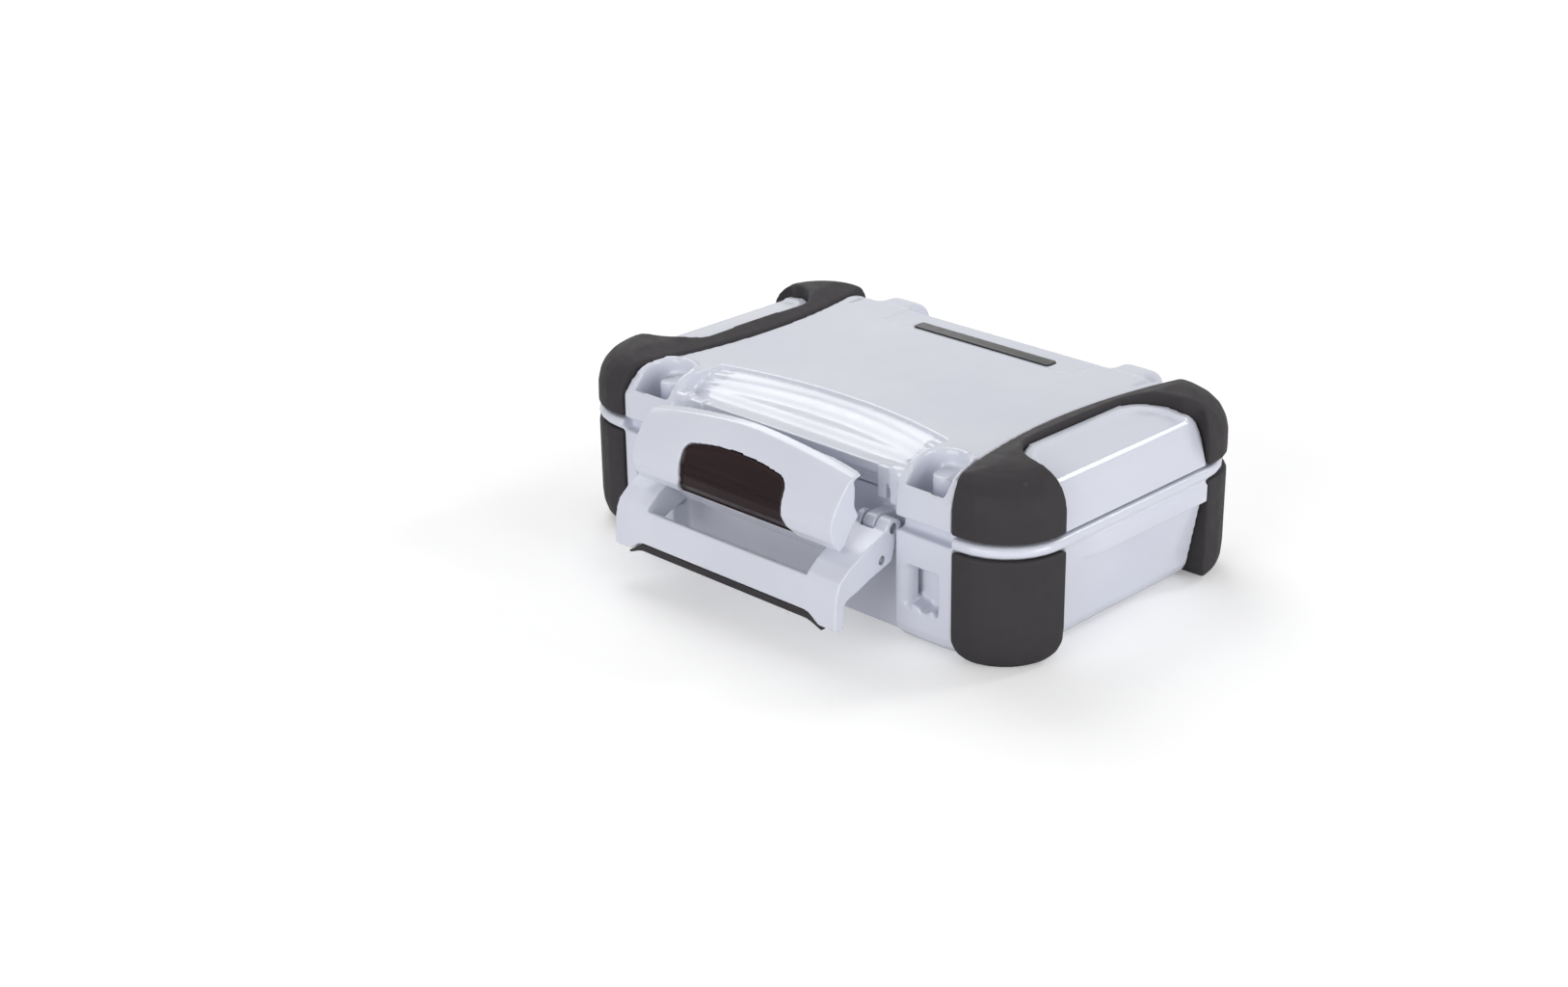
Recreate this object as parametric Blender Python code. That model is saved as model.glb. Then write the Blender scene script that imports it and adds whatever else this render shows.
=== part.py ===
"""Waterproof hard case: two shells on rear hinges, rubber corner guards, and a claw latch swung open.

Lengths are in metres. X runs to the right, Y to the back and Z up. The origin is the middle of the underside.
The case is shut, and the latch hangs open in front of it.
"""

import math

import bmesh
import bpy

# Overall sizes of the shut case, over the rubber corners
CASE_WIDTH = 0.170
CASE_DEPTH = 0.106
BASE_HEIGHT = 0.0360
LID_HEIGHT = 0.0154
LID_LIFT = 0.0006
CORNER_RADIUS = 0.019

# Clearances and the overrun of every cut
CLEARANCE = 0.0003
OVERRUN = 0.004

# Shells
SHELL_INSET = 0.0008
REAR_INSET = 0.0030
BUMPER_RECESS = 0.0018
LID_SIDE_INSET = 0.0227
LID_FRONT_INSET = 0.0110
LID_REAR_INSET = 0.0080
LID_TOP_RADIUS = 0.0080
BASE_SIDE_DRAFT = 0.0060
BASE_EDGE_ROUNDING = 0.0060
BLOCK_CORNER_RADIUS = 0.0034
BEAD_HEIGHT = 0.0034
BEAD_PROUD = 0.0008
WALL = 0.0024
LID_ROOF = 0.0030
FLOOR = 0.0026
RIM_LAND = 0.0070
CAVITY_RADIUS = 0.010

# Rubber corners
BUMPER_FRONT_REACH = 0.0216
BUMPER_SIDE_REACH = 0.0215
BUMPER_TOP_RISE = 0.0026
BUMPER_TOP_INSET = 0.0110
BUMPER_EDGE_RISE = 0.0005
BUMPER_SLOPE_RUN = 0.0075
BUMPER_FOOT_INSET = 0.0046
BUMPER_FOOT_RADIUS = 0.0075
BUMPER_BEAD_GAP = 0.0004
ARM_SETIN = 0.0300
ARM_WIDTH = 0.0048
WINDOW_FRONT_RADIUS = 0.0130
WINDOW_REAR_RADIUS = 0.0110
WINDOW_BOW = 0.0090
WINDOW_BULGE = 0.0022

# Seal, pad and liner
SEAL_WIDTH = 0.0020
SEAL_DEPTH = 0.0014
SEAL_OFFSET = 0.0034
PAD_THICKNESS = 0.0030
LINER_WALL = 0.0012
LINER_HEIGHT = 0.0280

# Label
LABEL_LENGTH = 0.052
LABEL_WIDTH = 0.0044
LABEL_THICKNESS = 0.0006
STRIP_MARGIN = 0.0110
STRIP_DEPTH = 0.0005
STRIP_FRONT = 0.0305

# Latch bay, lip, lugs and steps
BLOCK_WIDTH = 0.0416
BAY_DEPTH = 0.0070
BAY_TONGUE_HEIGHT = 0.0033
BAY_TONGUE_THICKNESS = 0.0018
LIP_DEPTH = 0.0055
LIP_DROP = 0.0050
LIP_THICKNESS = 0.0026
LIP_CHAMFER = 0.0018
STEP_ARCH = 0.0059
RECESS_REACH = 0.0275
LUG_WIDTH = 0.0089
LUG_SETIN = 0.00495
LUG_DEPTH = 0.0051
LUG_RADIUS = 0.0016
LUG_FRONT = 0.0024
LUG_RISE = 0.0018
LUG_SEAT_RISE = 0.0006
LUG_SEAT_WIDTH = 0.0052
LUG_SEAT_SETBACK = 0.0016
LUG_LEG = 0.0031
LUG_NOTCH_HEIGHT = 0.0047
LUG_FOOT_GAP = 0.0017

# Pockets of the lid
POCKET_WALL = 0.0024
POCKET_FRONT_WALL = 0.0012
POCKET_WIDTH = 0.0134
POCKET_LENGTH = 0.0142
POCKET_DEPTH = 0.0120
POST_RADIUS = 0.0038
POST_SETBACK = 0.0052

# Cord slots of the base
SLOT_WIDTH = 0.0099
SLOT_HEIGHT = 0.0119
SLOT_BOTTOM = 0.0117
SLOT_EDGE = 0.0052
SLOT_DEPTH = 0.0056
SLOT_SIDE_HEIGHT = 0.0080

# Ledge under the lid's front corners
SHELF_DEPTH = 0.0044
SHELF_DROP = 0.0032

# Side ledges of the base
LEDGE_LENGTH = 0.057
LEDGE_SHIFT = 0.0045
LEDGE_HEIGHT = 0.0056
LEDGE_TOP_GAP = 0.0008
LEDGE_PROUD = 0.0016

# Rear hinges
HINGE_SETIN = 0.0396
HINGE_ARM_WIDTH = 0.0110
HINGE_EAR_WIDTH = 0.0055
HINGE_RADIUS = 0.0032
HINGE_PIN_RADIUS = 0.0015
HINGE_SETBACK = 0.0010
HINGE_RISE = 0.0001
HUMP_DROP = 0.0007
HUMP_LENGTH = 0.0160
EAR_DROP = 0.0110

# Latch lever
LATCH_SETBACK = 0.0010
LATCH_DROP = 0.0035
LATCH_BARREL_RADIUS = 0.0029
LATCH_PIN_RADIUS = 0.0012
LATCH_BARREL_LENGTH = 0.0117
LATCH_EAR_WIDTH = 0.0046
LATCH_EAR_SETIN = 0.0052
LATCH_EAR_SWING = 45
LEVER_REACH = 0.0304
LEVER_SIDE_GAP = 0.0005
LEVER_CHEEK_WIDTH = 0.0119
LEVER_PANEL = 0.0024
GRIP_SETIN = 0.0044
GRIP_BEND = 0.0075
GRIP_ARCH = 0.0036
GRIP_THICKNESS = 0.0016
GRIP_HEIGHT = 0.0058

# Claw
CLAW_PIN_OFFSET_Y = 0.0045
CLAW_PIN_OFFSET_Z = 0.0078
CLAW_HEIGHT = 0.0290
CLAW_SETIN = 0.0049
CLAW_WALL = 0.0026
CLAW_ARCH = 0.0046
CLAW_ARCH_POWER = 1.6
CLAW_RELIEF_WIDTH = 0.0130
CLAW_ROOT_RADIUS = 0.0030
CLAW_PIN_RADIUS = 0.0010
CLAW_PIN_RECESS = 0.0008
CLAW_END_WEB = 0.0022
THUMB_WIDTH = 0.039
THUMB_HEIGHT = 0.0175
THUMB_ARCH = 0.0016
THUMB_RADIUS = 0.0035
THUMB_FLARE = 0.0028
THUMB_FLARE_HEIGHT = 0.0062
THUMB_SINK = 0.0005
THUMB_THICKNESS = 0.0010

# Where the front panel of the lever starts, as a point of its outer face
PANEL_START = 4

# Curve steps
CORNER_STEPS = 7
ARC_STEPS = 10
ROUND_STEPS = 24

# Rows of the lofts: height, side inset, front inset and rear inset, each as a share of its full value
LID_ROWS_SHARE = (
    (0.00, 0.00, 0.00, 0.00),
    (0.30, 0.09, 0.00, 0.06),
    (0.48, 0.15, 0.01, 0.11),
    (0.58, 0.18, 0.08, 0.15),
    (0.75, 0.245, 0.24, 0.30),
    (0.865, 0.317, 0.42, 0.50),
    (0.94, 0.60, 0.64, 0.72),
    (1.00, 1.00, 1.00, 1.00),
)
CAP_ROWS_SHARE = (
    (0.00, 0.000),
    (0.38, 0.010),
    (0.56, 0.070),
    (0.70, 0.170),
    (0.82, 0.330),
    (0.91, 0.540),
    (0.97, 0.760),
    (1.00, 1.000),
)
BASE_ROUND_SHARE = ((0.0, 1.0), (0.22, 0.50), (0.58, 0.16), (1.0, 0.0))
FOOT_ROUND_SHARE = ((0.0, 1.0), (0.12, 0.60), (0.34, 0.25), (0.62, 0.07), (1.0, 0.0))
BEAD_ROUND_SHARE = ((0.06, 0.0), (0.24, 0.75), (0.50, 1.0), (0.76, 0.80), (1.0, 0.10))

# Lever outline round its axis, as shares of its reach: outer face down to the tip, then the inner face back
LEVER_OUTER_SHARE = (
    (-0.030, 0.035),
    (-0.280, -0.066),
    (-0.424, -0.125),
    (-0.566, -0.197),
    (-0.684, -0.293),
    (-0.720, -0.370),
    (-0.742, -0.460),
    (-0.752, -0.570),
    (-0.758, -0.725),
)
LEVER_INNER_SHARE = (
    (-0.700, -0.755),
    (-0.642, -0.738),
    (-0.640, -0.539),
    (-0.599, -0.484),
    (-0.487, -0.454),
    (-0.322, -0.388),
    (-0.033, -0.303),
    (0.055, -0.090),
    (0.070, 0.030),
)
# Claw outline round its pin, as shares of its height: outer face from the top down to the lower edge
CLAW_OUTER_SHARE = (
    (-0.138, 1.010),
    (-0.224, 0.997),
    (-0.300, 0.941),
    (-0.369, 0.831),
    (-0.448, 0.679),
    (-0.507, 0.531),
    (-0.521, 0.400),
    (-0.490, 0.279),
    (-0.400, 0.169),
)
CLAW_TOOTH_SHARE = ((-0.230, 0.784), (-0.084, 0.828), (-0.070, 0.900))
CLAW_RELIEF_SHARE = ((-0.215, 0.807), (-0.060, 0.853), (0.040, 0.527), (-0.116, 0.480))
CLAW_NECK_SHARE = ((-0.052, 0.097), (-0.414, 0.397), (-0.452, 0.272), (-0.079, -0.069))
CLAW_WEB_SHARE = ((-0.200, 0.760), (-0.205, 0.560), (-0.155, 0.450), (-0.235, 0.370), (-0.330, 0.215))
# Steps behind the lip: how far back the middle of the rear edge is, how much it arches, and the floor's height
STEP_ROWS_SHARE = (
    (0.327, 0.20, 0.00),
    (0.673, 1.07, 0.24),
    (0.877, 1.32, 0.48),
    (1.000, 1.00, 0.72),
)
SLOT_TEETH_SHARE = (
    (0.00, 0.10),
    (0.22, 0.04),
    (0.40, -0.08),
    (0.52, -0.20),
    (0.64, -0.08),
    (0.76, -0.06),
    (1.00, -0.03),
)

# Places worked out from the sizes
LID_BOTTOM = BASE_HEIGHT + LID_LIFT
LID_TOP = LID_BOTTOM + LID_HEIGHT
HALF_WIDTH = CASE_WIDTH / 2
HALF_DEPTH = CASE_DEPTH / 2
SIDE_X = HALF_WIDTH - SHELL_INSET
FRONT_Y = HALF_DEPTH - SHELL_INSET
REAR_Y = HALF_DEPTH - REAR_INSET
BAY_Y = HALF_DEPTH - BAY_DEPTH
BAY_WIDTH = CASE_WIDTH - 2 * BLOCK_WIDTH
ARM_MIDDLE = HALF_WIDTH - ARM_SETIN
STRIP_LENGTH = LABEL_LENGTH + 2 * STRIP_MARGIN
LUG_MIDDLE = BAY_WIDTH / 2 - LUG_SETIN
LIP_TOP = LID_TOP - LIP_DROP
LIP_Y = HALF_DEPTH - LIP_DEPTH
LATCH_Y = -(HALF_DEPTH - LATCH_SETBACK)
LATCH_Z = BASE_HEIGHT - LATCH_DROP
WINDOW_WIDTH = BAY_WIDTH - 2 * (LEVER_SIDE_GAP + LEVER_CHEEK_WIDTH)
GRIP_WIDTH = BAY_WIDTH - 2 * GRIP_SETIN
CLAW_Y = LATCH_Y - CLAW_PIN_OFFSET_Y
CLAW_Z = LATCH_Z - CLAW_PIN_OFFSET_Z
CLAW_WIDTH = BAY_WIDTH - 2 * CLAW_SETIN
CLAW_RELIEF_START = CLAW_WIDTH / 2 - CLAW_RELIEF_WIDTH
HINGE_Y = HALF_DEPTH + HINGE_SETBACK
HINGE_Z = BASE_HEIGHT + HINGE_RISE
HINGE_SPACING = CASE_WIDTH - 2 * HINGE_SETIN

WHITE = ("shell_plastic", (0.66, 0.67, 0.71), 0.28, 0.0)
RUBBER = ("corner_rubber", (0.052, 0.050, 0.052), 0.62, 0.0)
SOFT = ("liner_rubber", (0.12, 0.12, 0.125), 0.75, 0.0)
FOAM = ("pad_foam", (0.10, 0.10, 0.10), 0.90, 0.0)
SEAL = ("seal_rubber", (0.20, 0.20, 0.21), 0.55, 0.0)
STEEL = ("pin_steel", (0.62, 0.62, 0.63), 0.30, 1.0)
GLOSS = ("thumb_gloss", (0.020, 0.012, 0.012), 0.12, 0.0)
PLATE = ("label_dark", (0.020, 0.020, 0.022), 0.35, 0.0)


def clear_scene():
    for obj in list(bpy.data.objects):
        bpy.data.objects.remove(obj, do_unlink=True)


def material(finish):
    name, colour, roughness, metallic = finish
    found = bpy.data.materials.get(name)
    if found:
        return found
    made = bpy.data.materials.new(name)
    made.use_nodes = True
    shader = made.node_tree.nodes["Principled BSDF"]
    shader.inputs["Base Color"].default_value = (*colour, 1.0)
    shader.inputs["Roughness"].default_value = roughness
    shader.inputs["Metallic"].default_value = metallic
    return made


def add_mesh(name, mesh, origin=(0.0, 0.0, 0.0)):
    """An object whose origin is at the given point, with its mesh where it was drawn."""
    for vertex in mesh.verts:
        vertex.co.x -= origin[0]
        vertex.co.y -= origin[1]
        vertex.co.z -= origin[2]
    bmesh.ops.recalc_face_normals(mesh, faces=mesh.faces)
    data = bpy.data.meshes.new(name)
    mesh.to_mesh(data)
    mesh.free()
    obj = bpy.data.objects.new(name, data)
    obj.location = origin
    bpy.context.scene.collection.objects.link(obj)
    return obj


def finished(obj, finish, sharp_degrees=35):
    obj.data.materials.clear()
    obj.data.materials.append(material(finish))
    obj.data.shade_smooth()
    obj.data.set_sharp_from_angle(angle=math.radians(sharp_degrees))
    return obj


def helper(name, mesh):
    """A cutter, kept out of the model."""
    obj = add_mesh(name, mesh)
    obj.hide_render = True
    obj.display_type = "WIRE"
    return obj


def boolean(obj, other, operation="DIFFERENCE"):
    modifier = obj.modifiers.new(other.name, "BOOLEAN")
    modifier.operation = operation
    modifier.object = other
    modifier.solver = "EXACT"


def loft(rings):
    """A closed mesh through rings of points that all have the same count."""
    mesh = bmesh.new()
    rows = [[mesh.verts.new(point) for point in ring] for ring in rings]
    count = len(rows[0])
    for lower, upper in zip(rows, rows[1:]):
        for i in range(count):
            j = (i + 1) % count
            mesh.faces.new((lower[i], lower[j], upper[j], upper[i]))
    mesh.faces.new(list(reversed(rows[0])))
    mesh.faces.new(rows[-1])
    return mesh


def plan_ring(x, front, rear, radius, z):
    """A rounded rectangle from -x to x and from -front to rear, at height z."""
    corners = ((x, rear, 0), (-x, rear, 1), (-x, -front, 2), (x, -front, 3))
    points = []
    for corner_x, corner_y, quarter in corners:
        middle_x = corner_x - math.copysign(radius, corner_x)
        middle_y = corner_y - math.copysign(radius, corner_y)
        for step in range(CORNER_STEPS + 1):
            angle = math.pi / 2 * (quarter + step / CORNER_STEPS)
            points.append((middle_x + radius * math.cos(angle), middle_y + radius * math.sin(angle), z))
    return points


def along_x(outline, x0, x1):
    """The outline, in Y and Z, stretched from x0 to x1."""
    return loft([[(x, y, z) for y, z in outline] for x in (x0, x1)])


def along_y(outline, y0, y1):
    """The outline, in X and Z, stretched from y0 to y1."""
    return loft([[(x, y, z) for x, z in outline] for y in (y0, y1)])


def along_z(outline, z0, z1):
    """The outline, in X and Y, stretched from z0 to z1."""
    return loft([[(x, y, z) for x, y in outline] for z in (z0, z1)])


def box(x0, x1, y0, y1, z0, z1):
    return along_z(((x0, y0), (x1, y0), (x1, y1), (x0, y1)), z0, z1)


def arc(middle_x, middle_y, radius, start, end, steps):
    """Points on an arc, from start to end in degrees."""
    points = []
    for step in range(steps + 1):
        angle = math.radians(start + (end - start) * step / steps)
        points.append((middle_x + radius * math.cos(angle), middle_y + radius * math.sin(angle)))
    return points


def round_x(y, z, radius, x0, x1):
    """A cylinder along X."""
    return along_x(arc(y, z, radius, 0, 360 - 360 / ROUND_STEPS, ROUND_STEPS - 1), x0, x1)


def offset_path(points, distance):
    """The open path moved sideways, to its left for a positive distance."""
    moved = []
    for i, (x, y) in enumerate(points):
        before = points[max(i - 1, 0)]
        after = points[min(i + 1, len(points) - 1)]
        run_x = after[0] - before[0]
        run_y = after[1] - before[1]
        length = math.hypot(run_x, run_y)
        moved.append((x - distance * run_y / length, y + distance * run_x / length))
    return moved


def scaled(shares, size, y0, z0):
    """Points round a place, from shares of a size."""
    return [(y0 + size * y, z0 + size * z) for y, z in shares]


def mirrored(outline, side):
    """The outline on the right for a side of 1, and on the left for -1."""
    points = [(side * x, y) for x, y in outline]
    return points if side > 0 else list(reversed(points))


def arm_inner_x(y):
    """The inner edge of a lid bumper, a parabola that meets the front and the rear edge where the caps end."""
    end = HALF_WIDTH - BUMPER_FRONT_REACH
    return ARM_MIDDLE + (end - ARM_MIDDLE) * (y / HALF_DEPTH) ** 2


def bumper_outline(side, grow):
    """The plan of a lid bumper, without its window. It grows by the given clearance."""
    far_x = HALF_WIDTH + OVERRUN
    far_y = HALF_DEPTH + OVERRUN
    inner = []
    for step in range(2 * ARC_STEPS + 1):
        y = far_y * (step / ARC_STEPS - 1)
        inner.append((arm_inner_x(y) - grow, y))
    return mirrored([*reversed(inner), (far_x, -far_y), (far_x, far_y)], side)


def window_outline(side, shrink):
    """The plan of the side panel that a lid bumper frames: its inner edge bows, and its rear edge bulges."""
    reach = HALF_DEPTH - BUMPER_SIDE_REACH - shrink
    inner = ARM_MIDDLE + ARM_WIDTH + shrink
    bow = WINDOW_BOW * (reach / HALF_DEPTH) ** 2
    far_x = HALF_WIDTH + 2 * OVERRUN
    centre_x, centre_y = inner + bow + WINDOW_FRONT_RADIUS, WINDOW_FRONT_RADIUS - reach
    front = arc(centre_x, centre_y, WINDOW_FRONT_RADIUS, 180, 270, ARC_STEPS)
    rear_x = inner + bow + WINDOW_REAR_RADIUS
    rear = arc(rear_x, reach - WINDOW_REAR_RADIUS, WINDOW_REAR_RADIUS, 90, 180, ARC_STEPS)
    bulge = []
    for step in range(1, ARC_STEPS + 1):
        share = step / ARC_STEPS
        x = HALF_WIDTH + (rear_x - HALF_WIDTH) * share
        bulge.append((x, reach + WINDOW_BULGE * math.sin(math.pi * share) ** 2))
    points = [*front, (far_x, -reach), (far_x, reach), (HALF_WIDTH, reach), *bulge[:-1], *rear]
    bowed = []
    for x, y in points:
        lean = bow - WINDOW_BOW * (y / HALF_DEPTH) ** 2
        share = max(0, min(1, (rear_x - x) / WINDOW_REAR_RADIUS))
        bowed.append((x - lean * share, y))
    return mirrored(bowed, side)


def lid_rings(inset, drop):
    """The outside of the lid shell, or its core where inset and drop are more than zero."""
    rings = []
    for height, side, front, rear in LID_ROWS_SHARE:
        x = SIDE_X - LID_SIDE_INSET * side - inset
        front_y = FRONT_Y - LID_FRONT_INSET * front - inset
        rear_y = REAR_Y - LID_REAR_INSET * rear - inset
        radius = CORNER_RADIUS - (CORNER_RADIUS - LID_TOP_RADIUS) * side
        z = LID_BOTTOM + (LID_HEIGHT - drop) * height
        rings.append(plan_ring(x, front_y, rear_y, radius, z))
    return rings


def cap_rings():
    """The outside of the lid bumpers."""
    rise = LID_HEIGHT + BUMPER_TOP_RISE - CLEARANCE
    rings = []
    for height, share in CAP_ROWS_SHARE:
        inset = BUMPER_TOP_INSET * share
        radius = CORNER_RADIUS - inset * (1 - LID_TOP_RADIUS / CORNER_RADIUS)
        z = LID_BOTTOM + CLEARANCE + rise * height
        rings.append(plan_ring(HALF_WIDTH - inset, HALF_DEPTH - inset, HALF_DEPTH - inset, radius, z))
    return rings


def base_rings(inset, bottom):
    """The outside of the base shell with its rim bead, or its core."""
    bead_bottom = BASE_HEIGHT - BEAD_HEIGHT
    rings = []
    for height, share in BASE_ROUND_SHARE:
        z = bottom + BASE_EDGE_ROUNDING * height
        draft = BASE_SIDE_DRAFT * (1 - z / bead_bottom) + BASE_EDGE_ROUNDING * share
        front = FRONT_Y - BASE_EDGE_ROUNDING * share - inset
        rear = REAR_Y - BASE_EDGE_ROUNDING * share - inset
        rings.append(plan_ring(SIDE_X - draft - inset, front, rear, CORNER_RADIUS - inset, z))
    rings.append(plan_ring(SIDE_X - inset, FRONT_Y - inset, REAR_Y - inset, CORNER_RADIUS - inset, bead_bottom))
    for height, share in BEAD_ROUND_SHARE:
        z = bead_bottom + BEAD_HEIGHT * height
        out = BEAD_PROUD * share
        rings.append(plan_ring(SIDE_X + out, FRONT_Y + out, REAR_Y + out, CORNER_RADIUS, z))
    return rings


def foot_rings():
    """The outside of the base bumpers."""
    top = BASE_HEIGHT - BEAD_HEIGHT - BUMPER_BEAD_GAP
    rounding = BUMPER_FOOT_INSET * 2
    rings = []
    for height, share in FOOT_ROUND_SHARE:
        inset = BUMPER_FOOT_INSET * share
        size = HALF_WIDTH - inset
        depth = HALF_DEPTH - inset
        rings.append(plan_ring(size, depth, depth, CORNER_RADIUS - inset, rounding * height))
    rings.append(plan_ring(HALF_WIDTH, HALF_DEPTH, HALF_DEPTH, CORNER_RADIUS, top))
    return rings


def cavity_rings(z_rows):
    """Rings of the inside, from rows of height, side, front and rear."""
    return [plan_ring(x, front, rear, CAVITY_RADIUS, z) for z, x, front, rear in z_rows]


def lever_bore(name, radius, y, z):
    reach = HALF_WIDTH
    return helper(name, round_x(y, z, radius, -reach, reach))


def lid_recess_cutter(side):
    """The seat of a lid bumper: its plan, down to the core of the lid."""
    label = "right" if side > 0 else "left"
    top = LID_TOP + OVERRUN
    seat = helper(f"cut_seat_{label}", along_z(bumper_outline(side, CLEARANCE), LID_BOTTOM - OVERRUN, top))
    window = helper(f"cut_seat_window_{label}", along_z(window_outline(side, CLEARANCE), -OVERRUN, top + OVERRUN))
    boolean(seat, window)
    boolean(seat, bpy.data.objects["core_lid"])
    return seat


def add_lid_core():
    """Cores under the rubber: one for the shell, and one a clearance larger for the bumpers."""
    drop = BUMPER_RECESS
    rings = lid_rings(BUMPER_RECESS, drop)
    bottom = [(x, y, LID_BOTTOM - 2 * OVERRUN) for x, y, z in rings[0]]
    helper("core_lid", loft([bottom, *rings]))
    rings = lid_rings(BUMPER_RECESS - CLEARANCE, drop - CLEARANCE)
    bottom = [(x, y, LID_BOTTOM - 2 * OVERRUN) for x, y, z in rings[0]]
    helper("core_lid_clear", loft([bottom, *rings]))


def step_outline(front, rear_middle, arch):
    """The plan of one recess step: straight in front and arched behind."""
    half = BAY_WIDTH / 2
    rear = []
    for step in range(ARC_STEPS + 1):
        share = 1 - 2 * step / ARC_STEPS
        rear.append((half * share, rear_middle - arch * share * share))
    return [*rear, (-half, front), (half, front)]


def lip_outline():
    """What is cut away in front of the lid's middle: up the tongue, the face and the lip, then over the lip."""
    far = -HALF_DEPTH - OVERRUN
    low = LID_BOTTOM + BAY_TONGUE_HEIGHT
    tongue_y = -BAY_Y + BAY_TONGUE_THICKNESS + CLEARANCE
    lip_low = LIP_TOP - LIP_THICKNESS
    return (
        (far, LID_BOTTOM - OVERRUN),
        (tongue_y, LID_BOTTOM - OVERRUN),
        (tongue_y, low),
        (-BAY_Y, low),
        (-BAY_Y, lip_low - LIP_CHAMFER),
        (-LIP_Y, lip_low),
        (-LIP_Y, LID_TOP + OVERRUN),
        (far, LID_TOP + OVERRUN),
    )


def cut_latch_recess(lid):
    half = BAY_WIDTH / 2
    front = -HALF_DEPTH - OVERRUN
    above = LID_TOP + OVERRUN
    boolean(lid, helper("cut_lip", along_x(lip_outline(), -half, half)))
    reach = LIP_Y - (HALF_DEPTH - RECESS_REACH)
    for step, (back, arch, rise) in enumerate(STEP_ROWS_SHARE):
        outline = step_outline(front, -LIP_Y + reach * back, STEP_ARCH * arch)
        boolean(lid, helper(f"cut_step_{step}", along_z(outline, LIP_TOP + LIP_DROP * rise, above)))


def lug_outline():
    """The side view of a lug at one end of the lip: round at the top in front, and clear of the tongue below."""
    front = -HALF_DEPTH + LUG_FRONT
    rear = front + LUG_DEPTH
    foot = LID_BOTTOM + LUG_FOOT_GAP
    low = LID_BOTTOM + BAY_TONGUE_HEIGHT
    top = LIP_TOP + LUG_RISE
    crown = arc(front + LUG_RADIUS, top - LUG_RADIUS, LUG_RADIUS, 90, 180, ARC_STEPS // 2)
    face = -BAY_Y - CLEARANCE
    return [(front, foot), (face, foot), (face, low), (rear, low), (rear, top), *crown]


def join_lug(lid, side, label):
    """A lug, with a notch between its two legs."""
    x0, x1 = sorted((side * (LUG_MIDDLE - LUG_WIDTH / 2), side * (LUG_MIDDLE + LUG_WIDTH / 2)))
    foot = LID_BOTTOM + LUG_FOOT_GAP
    lug = helper(f"join_lug_{label}", along_x(lug_outline(), x0, x1))
    low, high = foot - OVERRUN, foot + LUG_NOTCH_HEIGHT
    notch = box(x0 + LUG_LEG, x1 - LUG_LEG, -HALF_DEPTH - OVERRUN, -BAY_Y - CLEARANCE, low, high)
    boolean(lug, helper(f"cut_lug_notch_{label}", notch))
    near = side * (LUG_MIDDLE - LUG_WIDTH / 2)
    seat_x = sorted((near - side * OVERRUN, near + side * LUG_SEAT_WIDTH))
    seat_z = LIP_TOP + LUG_SEAT_RISE
    seat = box(*seat_x, -HALF_DEPTH - OVERRUN, -BAY_Y + OVERRUN, seat_z, seat_z + OVERRUN)
    boolean(lug, helper(f"cut_lug_seat_{label}", seat))
    face = -HALF_DEPTH + LUG_FRONT + LUG_SEAT_SETBACK
    step = box(*seat_x, -HALF_DEPTH - OVERRUN, face, foot - OVERRUN, seat_z + CLEARANCE)
    boolean(lug, helper(f"cut_lug_step_{label}", step))
    boolean(lid, lug, "UNION")


def pocket_outline():
    """The plan of the right pocket, round at the back."""
    x0 = BAY_WIDTH / 2 + POCKET_WALL
    radius = POCKET_WIDTH / 2
    front = -FRONT_Y + POCKET_FRONT_WALL
    rear = front + POCKET_LENGTH
    back = arc(x0 + radius, rear - radius, radius, 0, 180, ARC_STEPS)
    return [(x0, front), (x0 + POCKET_WIDTH, front), *back]


def post_outline():
    """The plan of the post in the right pocket: round in front, and joined to the wall behind."""
    middle = BAY_WIDTH / 2 + POCKET_WALL + POCKET_WIDTH / 2
    rear = -FRONT_Y + POCKET_FRONT_WALL + POCKET_LENGTH
    front = arc(middle, rear - POST_SETBACK, POST_RADIUS, 180, 360, ARC_STEPS)
    return [*front, (middle + POST_RADIUS, rear + POCKET_WALL), (middle - POST_RADIUS, rear + POCKET_WALL)]


def hinge_arm_outline():
    """The side view of a lid hinge arm: a hump on the lid's rear edge that turns down to its knuckle."""
    top = LID_TOP - HUMP_DROP
    out = HINGE_Y + HINGE_RADIUS
    start = REAR_Y - LID_REAR_INSET - HUMP_LENGTH / 4
    bend = HUMP_LENGTH / 2
    knuckle = arc(HINGE_Y, HINGE_Z, HINGE_RADIUS, 0, -180, ARC_STEPS)
    shoulder = arc(out - bend, top - bend, bend, 90, 0, ARC_STEPS // 2)
    inner = HINGE_Y - HINGE_RADIUS
    return [
        (start, LID_TOP - WALL / 2),
        (start + HUMP_LENGTH / 4, top),
        *shoulder,
        *knuckle,
        (inner, HINGE_Z + HINGE_RADIUS),
        (inner - REAR_INSET, HINGE_Z + 2 * HINGE_RADIUS),
    ]


def hinge_ear_outline():
    """The side view of a base hinge ear, from the rear wall up to its knuckle."""
    knuckle = arc(HINGE_Y, HINGE_Z, HINGE_RADIUS, 165, -20, ARC_STEPS)
    low = BASE_HEIGHT - BEAD_HEIGHT - EAR_DROP
    return [(REAR_Y - WALL, low), (REAR_Y - WALL, BASE_HEIGHT - CLEARANCE), *knuckle]


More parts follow.
